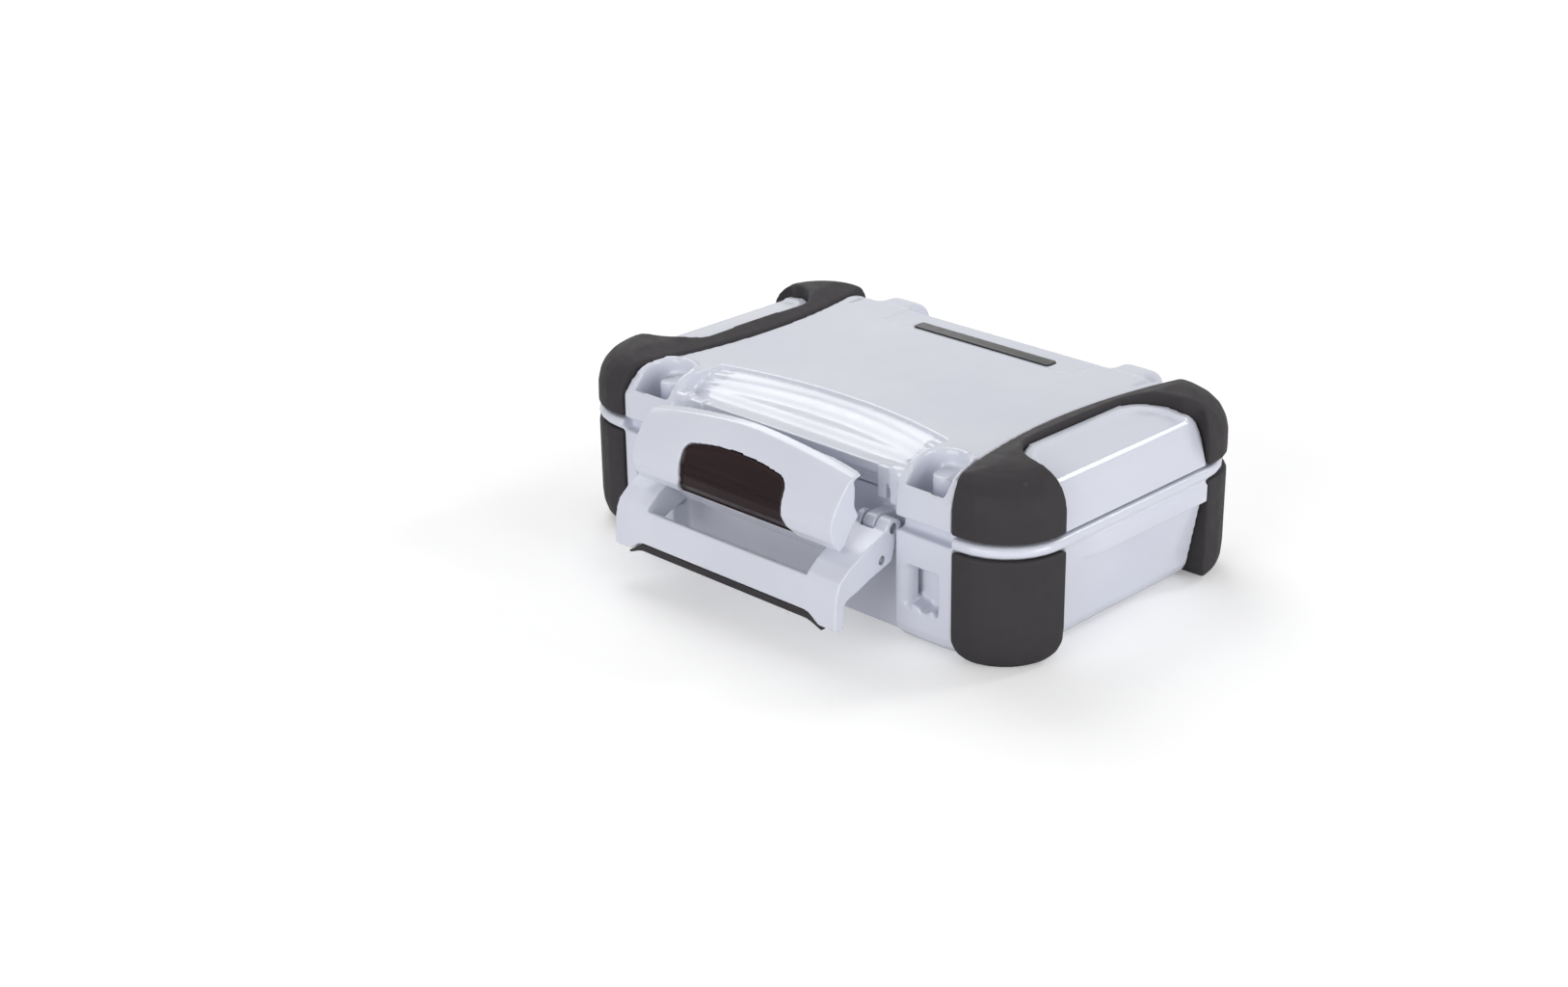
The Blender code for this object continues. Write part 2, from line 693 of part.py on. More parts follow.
def build_lid_shell():
    lid = add_mesh("lid_shell", loft(lid_rings(0, 0)), (0.0, HINGE_Y, HINGE_Z))
    for side in (1, -1):
        boolean(lid, lid_recess_cutter(side))
    cut_latch_recess(lid)
    cut_label_strip(lid)
    for side, label in ((1, "right"), (-1, "left")):
        join_lug(lid, side, label)
        top = LID_TOP + OVERRUN
        outline = mirrored(pocket_outline(), side)
        pocket = helper(f"cut_pocket_{label}", along_z(outline, LID_TOP - POCKET_DEPTH, top))
        post_top = LID_TOP - POCKET_DEPTH + POCKET_DEPTH * 2 / 3
        post = helper(f"cut_post_{label}", along_z(mirrored(post_outline(), side), LID_BOTTOM, post_top))
        boolean(pocket, post)
        boolean(lid, pocket)
        x0 = side * HINGE_SPACING / 2 - HINGE_ARM_WIDTH / 2
        arm = helper(f"join_arm_{label}", along_x(hinge_arm_outline(), x0, x0 + HINGE_ARM_WIDTH))
        boolean(lid, arm, "UNION")
    boolean(lid, helper("cut_lid_cavity", lid_cavity()))
    boolean(lid, helper("cut_lid_cavity_front", lid_cavity_front()))
    boolean(lid, helper("cut_seal_groove", seal_band(CLEARANCE, LID_BOTTOM - OVERRUN, LID_BOTTOM + SEAL_DEPTH)))
    boolean(lid, lever_bore("cut_lid_hinge_bore", HINGE_PIN_RADIUS + CLEARANCE, HINGE_Y, HINGE_Z))
    return finished(lid, WHITE)


def cut_label_strip(lid):
    """A shallow strip along the rear edge, with a deeper seat for the label."""
    half = STRIP_LENGTH / 2
    rear = REAR_Y + OVERRUN
    top = LID_TOP + OVERRUN
    outline = ((-half, STRIP_FRONT), (half, STRIP_FRONT), (half, rear), (-half, rear))
    strip = along_z(outline, LID_TOP - STRIP_DEPTH, top)
    boolean(lid, helper("cut_label_strip", strip))
    seat_x = LABEL_LENGTH / 2 + CLEARANCE
    seat_y0, seat_y1 = label_span()
    floor = label_bottom() - CLEARANCE
    seat = box(-seat_x, seat_x, seat_y0 - CLEARANCE, seat_y1 + CLEARANCE, floor, top)
    boolean(lid, helper("cut_label_seat", seat))


def label_span():
    start = STRIP_FRONT + LABEL_WIDTH / 2
    return start, start + LABEL_WIDTH


def label_bottom():
    return LID_TOP - STRIP_DEPTH - LABEL_THICKNESS / 2


def build_label_plate():
    y0, y1 = label_span()
    half = LABEL_LENGTH / 2
    z0 = label_bottom()
    plate = add_mesh("label_plate", box(-half, half, y0, y1, z0, z0 + LABEL_THICKNESS))
    return finished(plate, PLATE)


def cavity_front_y():
    """How far the inside reaches to the front at the rim."""
    return BAY_Y - RIM_LAND


def lid_cavity():
    """The deep part of the inside of the lid, behind the latch recess."""
    ceiling = LID_TOP - LID_ROOF
    front = HALF_DEPTH - RECESS_REACH - WALL
    x = SIDE_X - RIM_LAND
    rear = REAR_Y - RIM_LAND
    top_x = SIDE_X - LID_SIDE_INSET - WALL
    shoulder_z = LID_BOTTOM + LID_HEIGHT / 2
    rows = (
        (LID_BOTTOM - OVERRUN, x, front, rear),
        (shoulder_z, x - WALL, front, rear),
        (ceiling, top_x, front, rear - WALL),
    )
    return loft(cavity_rings(rows))


def lid_cavity_front():
    """The shallow part of the inside of the lid, under the latch recess and between the pockets."""
    ceiling = LIP_TOP - WALL
    x = BAY_WIDTH / 2 - WALL
    outline = ((-x, -cavity_front_y()), (x, -cavity_front_y()), (x, 0), (-x, 0))
    return along_z(outline, LID_BOTTOM - OVERRUN, ceiling)


def seal_band(grow, z0, z1):
    """The ring of the seal, as a band between two rounded rectangles."""
    x = SIDE_X - SEAL_OFFSET
    rear = REAR_Y - SEAL_OFFSET
    front = cavity_front_y() + RIM_LAND / 2
    outer = plan_ring(x + grow, front + grow, rear + grow, CAVITY_RADIUS + SEAL_OFFSET + grow, z0)
    cut = SEAL_WIDTH + grow
    inner = plan_ring(x - cut, front - cut, rear - cut, CAVITY_RADIUS + SEAL_OFFSET - cut, z0)
    mesh = bmesh.new()
    rows = []
    for ring, z in ((outer, z0), (outer, z1), (inner, z1), (inner, z0)):
        rows.append([mesh.verts.new((px, py, z)) for px, py, _ in ring])
    count = len(outer)
    for k in range(len(rows)):
        lower, upper = rows[k], rows[(k + 1) % len(rows)]
        for i in range(count):
            j = (i + 1) % count
            mesh.faces.new((lower[i], lower[j], upper[j], upper[i]))
    return mesh


def build_lid_seal():
    seal = add_mesh("lid_seal", seal_band(0, LID_BOTTOM - CLEARANCE, LID_BOTTOM + SEAL_DEPTH - CLEARANCE))
    return finished(seal, SEAL)


def build_lid_pad():
    top = LID_TOP - LID_ROOF - CLEARANCE
    x = SIDE_X - LID_SIDE_INSET - 2 * WALL
    front = HALF_DEPTH - RECESS_REACH - 2 * WALL
    rear = REAR_Y - RIM_LAND - 2 * WALL
    rings = [plan_ring(x, front, rear, CAVITY_RADIUS, z) for z in (top - PAD_THICKNESS, top)]
    return finished(add_mesh("lid_pad", loft(rings)), FOAM)


def bumper_slope(side):
    """What is cut off above a lid bumper, so that it climbs from the lid's top along its inner edge."""
    low = LID_TOP + BUMPER_EDGE_RISE
    high = LID_TOP + BUMPER_TOP_RISE
    rings = []
    for step in range(2 * ARC_STEPS + 1):
        y = (HALF_DEPTH + OVERRUN) * (step / ARC_STEPS - 1)
        x = arm_inner_x(y)
        slope = ((x, low), (x + BUMPER_SLOPE_RUN, high))
        section = ((x - OVERRUN, low), *slope, (x, high + OVERRUN), (x - OVERRUN, high))
        rings.append([(side * px, y, pz) for px, pz in section])
    return loft(rings)


def build_lid_bumper(side, label):
    top = LID_TOP + BUMPER_TOP_RISE + OVERRUN
    bumper = add_mesh(f"lid_bumper_{label}", along_z(bumper_outline(side, 0), LID_BOTTOM - OVERRUN, top))
    window = helper(f"cut_window_{label}", along_z(window_outline(side, 0), -OVERRUN, top + OVERRUN))
    boolean(bumper, window)
    boolean(bumper, bpy.data.objects["shape_caps"], "INTERSECT")
    boolean(bumper, bpy.data.objects["core_lid_clear"])
    boolean(bumper, helper(f"cut_slope_{label}", bumper_slope(side)))
    return finished(bumper, RUBBER)


def base_core_rings(inset):
    """The base under its bumpers, carried past the underside."""
    rings = base_rings(inset, 0)[: len(BASE_ROUND_SHARE) + 1]
    low = [(x, y, -OVERRUN) for x, y, z in rings[0]]
    high = [(x, y, BASE_HEIGHT + OVERRUN) for x, y, z in rings[-1]]
    return [low, *rings, high]


def foot_view_outline(inner, outer, top, grow):
    """The front or side view of a base bumper, with a round lower corner."""
    radius = BUMPER_FOOT_RADIUS
    corner = arc(inner - grow + radius, radius - grow, radius, 180, 270, ARC_STEPS)
    return [*corner, (outer, -grow), (outer, top), (inner - grow, top)]


def foot_region(side, end, label, grow, top):
    """The corner block of a base bumper: a front view and a side view that cut each other."""
    far = OVERRUN
    inner_x = HALF_WIDTH - BUMPER_FRONT_REACH
    inner_y = HALF_DEPTH - BUMPER_SIDE_REACH
    front = foot_view_outline(inner_x, HALF_WIDTH + far, top, grow)
    flank = foot_view_outline(inner_y, HALF_DEPTH + far, top, grow)
    y0, y1 = sorted((end * (inner_y - OVERRUN), end * (HALF_DEPTH + far)))
    x0, x1 = sorted((side * (inner_x - OVERRUN), side * (HALF_WIDTH + far)))
    block = along_y(mirrored(front, side), y0, y1)
    other = helper(f"{label}_flank", along_x(mirrored(flank, end), x0, x1))
    return block, other


def build_base_bumper(side, end, label):
    top = BASE_HEIGHT - BEAD_HEIGHT - BUMPER_BEAD_GAP
    block, flank = foot_region(side, end, f"shape_foot_{label}", 0, top)
    bumper = add_mesh(f"base_bumper_{label}", block)
    boolean(bumper, flank, "INTERSECT")
    boolean(bumper, bpy.data.objects["shape_feet"], "INTERSECT")
    boolean(bumper, bpy.data.objects["core_base_clear"])
    return finished(bumper, RUBBER)


def cut_foot_seat(base, side, end, label):
    top = BASE_HEIGHT - BEAD_HEIGHT
    block, flank = foot_region(side, end, f"cut_foot_{label}", CLEARANCE, top)
    seat = helper(f"cut_foot_seat_{label}", block)
    boolean(seat, flank, "INTERSECT")
    boolean(seat, bpy.data.objects["core_base"])
    boolean(base, seat)


def slot_outline():
    """The front view of the right cord slot, with teeth along its lower edge."""
    x0 = BAY_WIDTH / 2 + SLOT_EDGE
    teeth = [(x0 + SLOT_WIDTH * x, SLOT_BOTTOM + SLOT_HEIGHT * z) for x, z in SLOT_TEETH_SHARE]
    top = SLOT_BOTTOM + SLOT_HEIGHT
    return [*teeth, (x0 + SLOT_WIDTH, top), (x0, top)]


def ledge_outline():
    """The side view of a side ledge, with round ends."""
    radius = LEDGE_HEIGHT / 2
    z = BASE_HEIGHT - BEAD_HEIGHT - LEDGE_TOP_GAP - radius
    y0 = LEDGE_SHIFT - LEDGE_LENGTH / 2
    y1 = LEDGE_SHIFT + LEDGE_LENGTH / 2
    rear = arc(y1 - radius, z, radius, -90, 90, ARC_STEPS)
    front = arc(y0 + radius, z, radius, 90, 270, ARC_STEPS)
    return [*rear, *front]


def base_cavity_rings(shrink, z0, z1):
    """The inside of the base: deep walls, and a rim that stands in towards the middle."""
    deep_x = SIDE_X - BASE_SIDE_DRAFT - RIM_LAND / 2 - WALL - shrink
    rim_x = SIDE_X - RIM_LAND - shrink
    rear = REAR_Y - RIM_LAND - shrink
    front = cavity_front_y() - shrink
    return cavity_rings(((z0, deep_x - WALL, front, rear), (z1, rim_x - WALL / 2, front, rear)))


def build_base_shell():
    base = add_mesh("base_shell", loft(base_rings(0, 0)))
    for side, label in ((1, "right"), (-1, "left")):
        ledge_in, ledge_out = SIDE_X - BASE_SIDE_DRAFT, SIDE_X + LEDGE_PROUD - SHELL_INSET
        ledge_x0, ledge_x1 = sorted((side * ledge_in, side * ledge_out))
        boolean(base, helper(f"join_ledge_{label}", along_x(ledge_outline(), ledge_x0, ledge_x1)), "UNION")
    corners = ((1, -1, "front_right"), (-1, -1, "front_left"), (1, 1, "rear_right"), (-1, 1, "rear_left"))
    for side, end, label in corners:
        cut_foot_seat(base, side, end, label)
    half = BAY_WIDTH / 2
    front = -HALF_DEPTH - OVERRUN
    boolean(base, helper("cut_bay_base", box(-half, half, front, -BAY_Y, -OVERRUN, BASE_HEIGHT + OVERRUN)))
    tongue_top = LID_BOTTOM + BAY_TONGUE_HEIGHT - CLEARANCE
    tongue_rear = -BAY_Y + BAY_TONGUE_THICKNESS
    tongue = box(-half + CLEARANCE, half - CLEARANCE, -BAY_Y, tongue_rear, BASE_HEIGHT - WALL, tongue_top)
    boolean(base, helper("join_tongue", tongue), "UNION")
    boolean(base, helper("cut_base_cavity", loft(base_cavity_rings(0, FLOOR, BASE_HEIGHT + OVERRUN))))
    for side, label in ((1, "right"), (-1, "left")):
        block_x0, block_x1 = sorted((side * half, side * (HALF_WIDTH - BUMPER_FRONT_REACH - CLEARANCE)))
        shelf_rear = -HALF_DEPTH + SHELF_DEPTH
        shelf_low = BASE_HEIGHT - SHELF_DROP
        shelf = box(block_x0, block_x1, -HALF_DEPTH - OVERRUN, shelf_rear, shelf_low, BASE_HEIGHT + OVERRUN)
        boolean(base, helper(f"cut_shelf_{label}", shelf))
        slot_front = -HALF_DEPTH - OVERRUN
        slot_rear = -FRONT_Y + SLOT_DEPTH
        slot = along_y(mirrored(slot_outline(), side), slot_front, slot_rear)
        boolean(base, helper(f"cut_slot_{label}", slot))
        cut_side_slot(base, side, label)
        outline = mirrored(block_corner_outline(), side)
        corner = helper(f"cut_block_corner_{label}", along_y(outline, -HALF_DEPTH - OVERRUN, -BAY_Y))
        boolean(base, corner)
        x0, x1 = latch_ear_span(side)
        boolean(base, helper(f"join_latch_ear_{label}", along_x(latch_ear_outline(0), x0, x1)), "UNION")
        add_hinge_ears(base, side, label)
    boolean(base, lever_bore("cut_base_hinge_bore", HINGE_PIN_RADIUS + CLEARANCE, HINGE_Y, HINGE_Z))
    pin_x = half - LEVER_SIDE_GAP
    bore = round_x(LATCH_Y, LATCH_Z, LATCH_PIN_RADIUS + CLEARANCE, -pin_x, pin_x)
    boolean(base, helper("cut_base_latch_bore", bore))
    return finished(base, WHITE)


def block_corner_outline():
    """What a round takes off the lower inner corner of the right front block, seen from the front."""
    radius = BLOCK_CORNER_RADIUS
    inner = BAY_WIDTH / 2
    corner = arc(inner + radius, radius, radius, 180, 270, ARC_STEPS)
    return [(inner - OVERRUN, radius), *corner, (inner + radius, -OVERRUN), (inner - OVERRUN, -OVERRUN)]


def latch_ear_span(side):
    """Where an ear that carries the latch's hinge pin starts and ends along X."""
    far = BAY_WIDTH / 2 - LATCH_EAR_SETIN
    return sorted((side * far, side * (far - LATCH_EAR_WIDTH)))


def latch_ear_outline(grow):
    """The side view of a latch ear: a round end on an arm from the wall of the bay."""
    radius = LATCH_BARREL_RADIUS + grow
    end = arc(LATCH_Y, LATCH_Z, radius, 90, 270, ARC_STEPS)
    rear = -BAY_Y + WALL / 2
    return [*end, (rear, LATCH_Z - radius), (rear, LATCH_Z + radius)]


def cut_side_slot(base, side, label):
    """The way of a cord from the slot into the latch bay."""
    y1 = -FRONT_Y + SLOT_DEPTH
    y0 = y1 - SLOT_DEPTH + WALL / 2
    z0 = SLOT_BOTTOM + (SLOT_HEIGHT - SLOT_SIDE_HEIGHT) / 2
    x0, x1 = sorted((side * (BAY_WIDTH / 2 - OVERRUN), side * (BAY_WIDTH / 2 + SLOT_EDGE + SLOT_WIDTH / 2)))
    boolean(base, helper(f"cut_side_slot_{label}", box(x0, x1, y0, y1, z0, z0 + SLOT_SIDE_HEIGHT)))


def add_hinge_ears(base, side, label):
    middle = side * HINGE_SPACING / 2
    for way, place in ((1, "outer"), (-1, "inner")):
        near = middle + way * (HINGE_ARM_WIDTH / 2 + CLEARANCE)
        far = near + way * HINGE_EAR_WIDTH
        x0, x1 = sorted((near, far))
        ear = helper(f"join_ear_{label}_{place}", along_x(hinge_ear_outline(), x0, x1))
        boolean(base, ear, "UNION")


def build_base_liner():
    z0 = FLOOR + CLEARANCE
    rings = base_cavity_rings(CLEARANCE, z0, BASE_HEIGHT + OVERRUN)
    liner = add_mesh("base_liner", loft(rings))
    hollow = loft(base_cavity_rings(CLEARANCE + LINER_WALL, z0 + LINER_WALL, BASE_HEIGHT + 2 * OVERRUN))
    boolean(liner, helper("cut_liner_hollow", hollow))
    wide = CASE_WIDTH
    above = box(-wide, wide, -wide, wide, LINER_HEIGHT, BASE_HEIGHT + 2 * OVERRUN)
    boolean(liner, helper("cut_liner_top", above))
    return finished(liner, SOFT)


def build_pin(name, radius, y, z, x0, x1):
    pin = add_mesh(name, round_x(y, z, radius, x0, x1))
    return finished(pin, STEEL)


def lever_outline():
    outer = scaled(LEVER_OUTER_SHARE, LEVER_REACH, LATCH_Y, LATCH_Z)
    inner = scaled(LEVER_INNER_SHARE, LEVER_REACH, LATCH_Y, LATCH_Z)
    return [*outer, *inner]


def lever_window_outline():
    """The side view of the window: all of the lever but its front panel."""
    outer = scaled(LEVER_OUTER_SHARE, LEVER_REACH, LATCH_Y, LATCH_Z)
    panel = offset_path(outer, LEVER_PANEL)[PANEL_START:]
    tip = (panel[-1][0], panel[-1][1] - OVERRUN)
    far_y = LATCH_Y + LEVER_REACH / 2
    start = outer[PANEL_START]
    far_z = LATCH_Z + LEVER_REACH / 2
    beyond = start[0] - OVERRUN
    return [(beyond, start[1]), *panel, tip, (far_y, tip[1]), (far_y, far_z), (beyond, far_z)]


def build_latch_lever():
    half = BAY_WIDTH / 2 - LEVER_SIDE_GAP
    lever = add_mesh("latch_lever", along_x(lever_outline(), -half, half), (0.0, LATCH_Y, LATCH_Z))
    window = WINDOW_WIDTH / 2
    boolean(lever, helper("cut_lever_window", along_x(lever_window_outline(), -window, window)))
    for side, label in ((1, "right"), (-1, "left")):
        x0, x1 = sorted((side * half, side * (half - LATCH_BARREL_LENGTH)))
        barrel = helper(f"join_barrel_{label}", round_x(LATCH_Y, LATCH_Z, LATCH_BARREL_RADIUS, x0, x1))
        boolean(lever, barrel, "UNION")
    for side, label in ((1, "right"), (-1, "left")):
        x0, x1 = latch_ear_span(side)
        room = along_x(ear_room_outline(), x0 - CLEARANCE, x1 + CLEARANCE)
        boolean(lever, helper(f"cut_ear_room_{label}", room))
    boolean(lever, helper("cut_grip_seat", grip_seat()))
    boolean(lever, lever_bore("cut_lever_bore", LATCH_PIN_RADIUS + CLEARANCE, LATCH_Y, LATCH_Z))
    boolean(lever, lever_bore("cut_cheek_bore", CLAW_PIN_RADIUS + CLEARANCE, CLAW_Y, CLAW_Z))
    return finished(lever, WHITE)


def ear_room_outline():
    """The side view of the room that an ear needs in the lever, from open to shut."""
    radius = LATCH_BARREL_RADIUS + CLEARANCE
    front = arc(LATCH_Y, LATCH_Z, radius, 80, 270 - LATCH_EAR_SWING, ARC_STEPS)
    turn = math.radians(LATCH_EAR_SWING)
    last_y, last_z = front[-1]
    reach = LEVER_REACH / 3
    down = (last_y + reach * math.cos(turn), last_z - reach * math.sin(turn))
    return [*front, down, (LATCH_Y + reach, down[1]), (LATCH_Y + reach, front[0][1] + CLEARANCE)]


def grip_tip_z():
    """The height of the flange's lower edge."""
    return LATCH_Z + LEVER_REACH * LEVER_INNER_SHARE[0][1]


def grip_curve(grow):
    """The lower edge of the flange, seen from the front: it bends up at both ends and is level between them."""
    half = GRIP_WIDTH / 2
    low = grip_tip_z()
    right = []
    for step in range(ARC_STEPS + 1):
        share = step / ARC_STEPS
        x = half - GRIP_BEND * share
        right.append((x, low + GRIP_ARCH * (1 - math.cos(math.pi * share)) / 2 + grow))
    return [*right, *[(-x, z) for x, z in reversed(right)]]


def grip_seat():
    """The arch in the flange's lower edge that the grip fills."""
    half = GRIP_WIDTH / 2
    low = grip_tip_z() - OVERRUN
    y1 = LATCH_Y - LEVER_REACH * abs(LEVER_INNER_SHARE[3][0])
    return along_y([(-half, low), (half, low), *grip_curve(0)], LATCH_Y - LEVER_REACH, y1)


def build_finger_grip():
    """A bent strip under the flange's lower edge, with a pad that climbs its inner face."""
    outer = scaled(LEVER_OUTER_SHARE, LEVER_REACH, LATCH_Y, LATCH_Z)
    front = outer[-1][0] + CLEARANCE
    inner = offset_path(outer, LEVER_PANEL + CLEARANCE)[-2:]
    outside = offset_path(outer, LEVER_PANEL + CLEARANCE + GRIP_THICKNESS)[-2:]
    top = grip_curve(-CLEARANCE)[2:-2]
    lowest = grip_tip_z() - GRIP_THICKNESS
    under = [(x, z - GRIP_THICKNESS * (z - lowest) / GRIP_ARCH) for x, z in reversed(top)]
    grip = add_mesh("finger_grip", along_y([*top, *under], front, outside[1][0]), (0.0, LATCH_Y, LATCH_Z))
    half = WINDOW_WIDTH / 2 - CLEARANCE
    low = grip_tip_z() + GRIP_ARCH - GRIP_THICKNESS
    pad = (
        (inner[1][0], low),
        (outside[1][0], low),
        (outside[0][0], low + GRIP_HEIGHT),
        (inner[0][0], low + GRIP_HEIGHT),
    )
    boolean(grip, helper("join_grip_pad", along_x(pad, -half, half)), "UNION")
    return finished(grip, RUBBER)


def claw_section(x):
    """The side view of the claw at one place along its width: its upper part is lower towards the ends."""
    drop = CLAW_ARCH * (2 * abs(x) / CLAW_WIDTH) ** CLAW_ARCH_POWER
    outer = scaled(CLAW_OUTER_SHARE, CLAW_HEIGHT, CLAW_Y, CLAW_Z)
    foot = outer[-3][1]
    reach = outer[0][1] - foot
    lowered = [(y, z - drop * max(z - foot, 0) / reach) for y, z in outer]
    inner = list(reversed(offset_path(lowered, CLAW_WALL)[2:]))
    top = lowered[0][1]
    tooth = scaled(CLAW_TOOTH_SHARE, CLAW_HEIGHT, CLAW_Y, CLAW_Z)
    limits = (CLAW_WALL, CLAW_WALL / 2, CLAW_WALL / 4)
    tooth = [(y, min(z, top - limit)) for (y, z), limit in zip(tooth, limits)]
    return [*lowered, *inner, *tooth]


def claw_mesh():
    """The claw's slab and tooth, through sections along its width."""
    rings = []
    for step in range(2 * ARC_STEPS + 1):
        x = CLAW_WIDTH / 2 * math.sin(math.pi / 2 * (step / ARC_STEPS - 1))
        rings.append([(x, y, z) for y, z in claw_section(x)])
    return loft(rings)


def claw_web_outline():
    """The side view of an end web, behind the slab."""
    section = claw_section(CLAW_WIDTH / 2)
    outer = section[: len(CLAW_OUTER_SHARE)]
    inside = offset_path(outer, CLAW_WALL / 2)[2:]
    web = scaled(CLAW_WEB_SHARE, CLAW_HEIGHT, CLAW_Y, CLAW_Z)
    return [*inside, *reversed(web)]


def carried_on(points, distance):
    """The open path, longer by a distance at its end."""
    (x0, y0), (x1, y1) = points[-2:]
    length = math.hypot(x1 - x0, y1 - y0)
    return [*points, (x1 + distance * (x1 - x0) / length, y1 + distance * (y1 - y0) / length)]


def thumb_strip(outer, near, far):
    """The side view of a layer under the claw's outer face, between two depths."""
    return [*offset_path(outer, near)[2:], *reversed(offset_path(outer, far)[2:])]


def thumb_front_outline(grow):
    """The front view of the thumb pad: arched on top, round at its upper corners, and wider at its foot."""
    half = THUMB_WIDTH / 2 + grow
    low = CLAW_Z - OVERRUN
    foot = CLAW_Z + CLAW_HEIGHT * CLAW_OUTER_SHARE[-1][1]
    top = foot + THUMB_HEIGHT + grow
    radius = THUMB_RADIUS + grow
    flare_top = foot + THUMB_FLARE_HEIGHT
    wide = half + THUMB_FLARE
    right = [(wide, low)]
    for step in range(ARC_STEPS + 1):
        share = step / ARC_STEPS
        out = THUMB_FLARE * (1 + math.cos(math.pi * share)) / 2
        right.append((half + out, foot + (flare_top - foot) * share))
    right += arc(half - radius, top - THUMB_ARCH - radius, radius, 0, 70, ARC_STEPS // 2)
    reach = half - radius
    for step in range(ARC_STEPS):
        share = 1 - (step + 1) / ARC_STEPS
        right.append((reach * share, top - THUMB_ARCH * share * share))
    left = [(-x, z) for x, z in reversed(right[:-1])]
    return [*right, *left]


def build_latch_claw():
    half = CLAW_WIDTH / 2
    claw = add_mesh("latch_claw", claw_mesh(), (0.0, CLAW_Y, CLAW_Z))
    front, rear = CLAW_Y - CLAW_HEIGHT, CLAW_Y + CLAW_HEIGHT
    for side, label in ((1, "right"), (-1, "left")):
        x0, x1 = sorted((side * half, side * (half - CLAW_END_WEB)))
        boolean(claw, helper(f"join_web_{label}", along_x(claw_web_outline(), x0, x1)), "UNION")
    relief = scaled(CLAW_RELIEF_SHARE, CLAW_HEIGHT, CLAW_Y, CLAW_Z)
    for side, label in ((1, "right"), (-1, "left")):
        x0, x1 = sorted((side * CLAW_RELIEF_START, side * (half + OVERRUN)))
        boolean(claw, helper(f"cut_relief_{label}", along_x(relief, x0, x1)))
    root = WINDOW_WIDTH / 2 - 2 * CLEARANCE
    neck = scaled(CLAW_NECK_SHARE, CLAW_HEIGHT, CLAW_Y, CLAW_Z)
    boolean(claw, helper("join_neck", along_x(neck, -root, root)), "UNION")
    boolean(claw, helper("join_root", round_x(CLAW_Y, CLAW_Z, CLAW_ROOT_RADIUS, -root, root)), "UNION")
    outer = carried_on(scaled(CLAW_OUTER_SHARE, CLAW_HEIGHT, CLAW_Y, CLAW_Z), OVERRUN)
    pocket = helper("cut_thumb_pocket", along_x(thumb_strip(outer, -OVERRUN / 2, thumb_depth()), -half, half))
    shape = helper("shape_thumb_pocket", along_y(thumb_front_outline(CLEARANCE), front, rear))
    boolean(pocket, shape, "INTERSECT")
    boolean(claw, pocket)
    boolean(claw, lever_bore("cut_root_bore", CLAW_PIN_RADIUS + CLEARANCE, CLAW_Y, CLAW_Z))
    return finished(claw, WHITE)


def thumb_depth():
    return THUMB_SINK + THUMB_THICKNESS + CLEARANCE


def build_thumb_pad():
    half = CLAW_WIDTH / 2
    outer = scaled(CLAW_OUTER_SHARE, CLAW_HEIGHT, CLAW_Y, CLAW_Z)
    strip = along_x(thumb_strip(outer, THUMB_SINK, THUMB_SINK + THUMB_THICKNESS), -half, half)
    pad = add_mesh("thumb_pad", strip, (0.0, CLAW_Y, CLAW_Z))
    front, rear = CLAW_Y - CLAW_HEIGHT, CLAW_Y
    boolean(pad, helper("shape_thumb_pad", along_y(thumb_front_outline(0), front, rear)), "INTERSECT")
    return finished(pad, GLOSS)


def main():
    clear_scene()
    add_lid_core()
    helper("shape_caps", loft(cap_rings()))
    helper("shape_feet", loft(foot_rings()))
    helper("core_base", loft(base_core_rings(BUMPER_RECESS)))
    helper("core_base_clear", loft(base_core_rings(BUMPER_RECESS - CLEARANCE)))
    build_base_shell()
    build_base_liner()
    corners = ((1, -1, "front_right"), (-1, -1, "front_left"), (1, 1, "rear_right"), (-1, 1, "rear_left"))
    for side, end, label in corners:
        build_base_bumper(side, end, label)
    build_lid_shell()
    build_lid_bumper(1, "right")
    build_lid_bumper(-1, "left")
    build_lid_seal()
    build_lid_pad()
    build_label_plate()
    build_latch_lever()
    build_finger_grip()
    build_latch_claw()
    build_thumb_pad()
    span = HINGE_ARM_WIDTH / 2 + CLEARANCE + HINGE_EAR_WIDTH
    latch_end = BAY_WIDTH / 2 - LEVER_SIDE_GAP - CLAW_PIN_RECESS
    latch_start = BAY_WIDTH / 2 - LEVER_SIDE_GAP - LATCH_BARREL_LENGTH
    for side, label in ((1, "right"), (-1, "left")):
        middle = side * HINGE_SPACING / 2
        build_pin(f"hinge_pin_{label}", HINGE_PIN_RADIUS, HINGE_Y, HINGE_Z, middle - span, middle + span)
        x0, x1 = sorted((side * latch_start, side * latch_end))
        build_pin(f"latch_hinge_pin_{label}", LATCH_PIN_RADIUS, LATCH_Y, LATCH_Z, x0, x1)
    pin_half = BAY_WIDTH / 2 - LEVER_SIDE_GAP - CLAW_PIN_RECESS
    build_pin("claw_pin", CLAW_PIN_RADIUS, CLAW_Y, CLAW_Z, -pin_half, pin_half)


main()
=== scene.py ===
"""A small waterproof hard case with rubber corner bumpers, closed, its front latch swung open."""

import math

import bmesh
import bpy
from bpy.props import FloatProperty, FloatVectorProperty, IntProperty, PointerProperty
from mathutils import Matrix, Vector
from mathutils.bvhtree import BVHTree


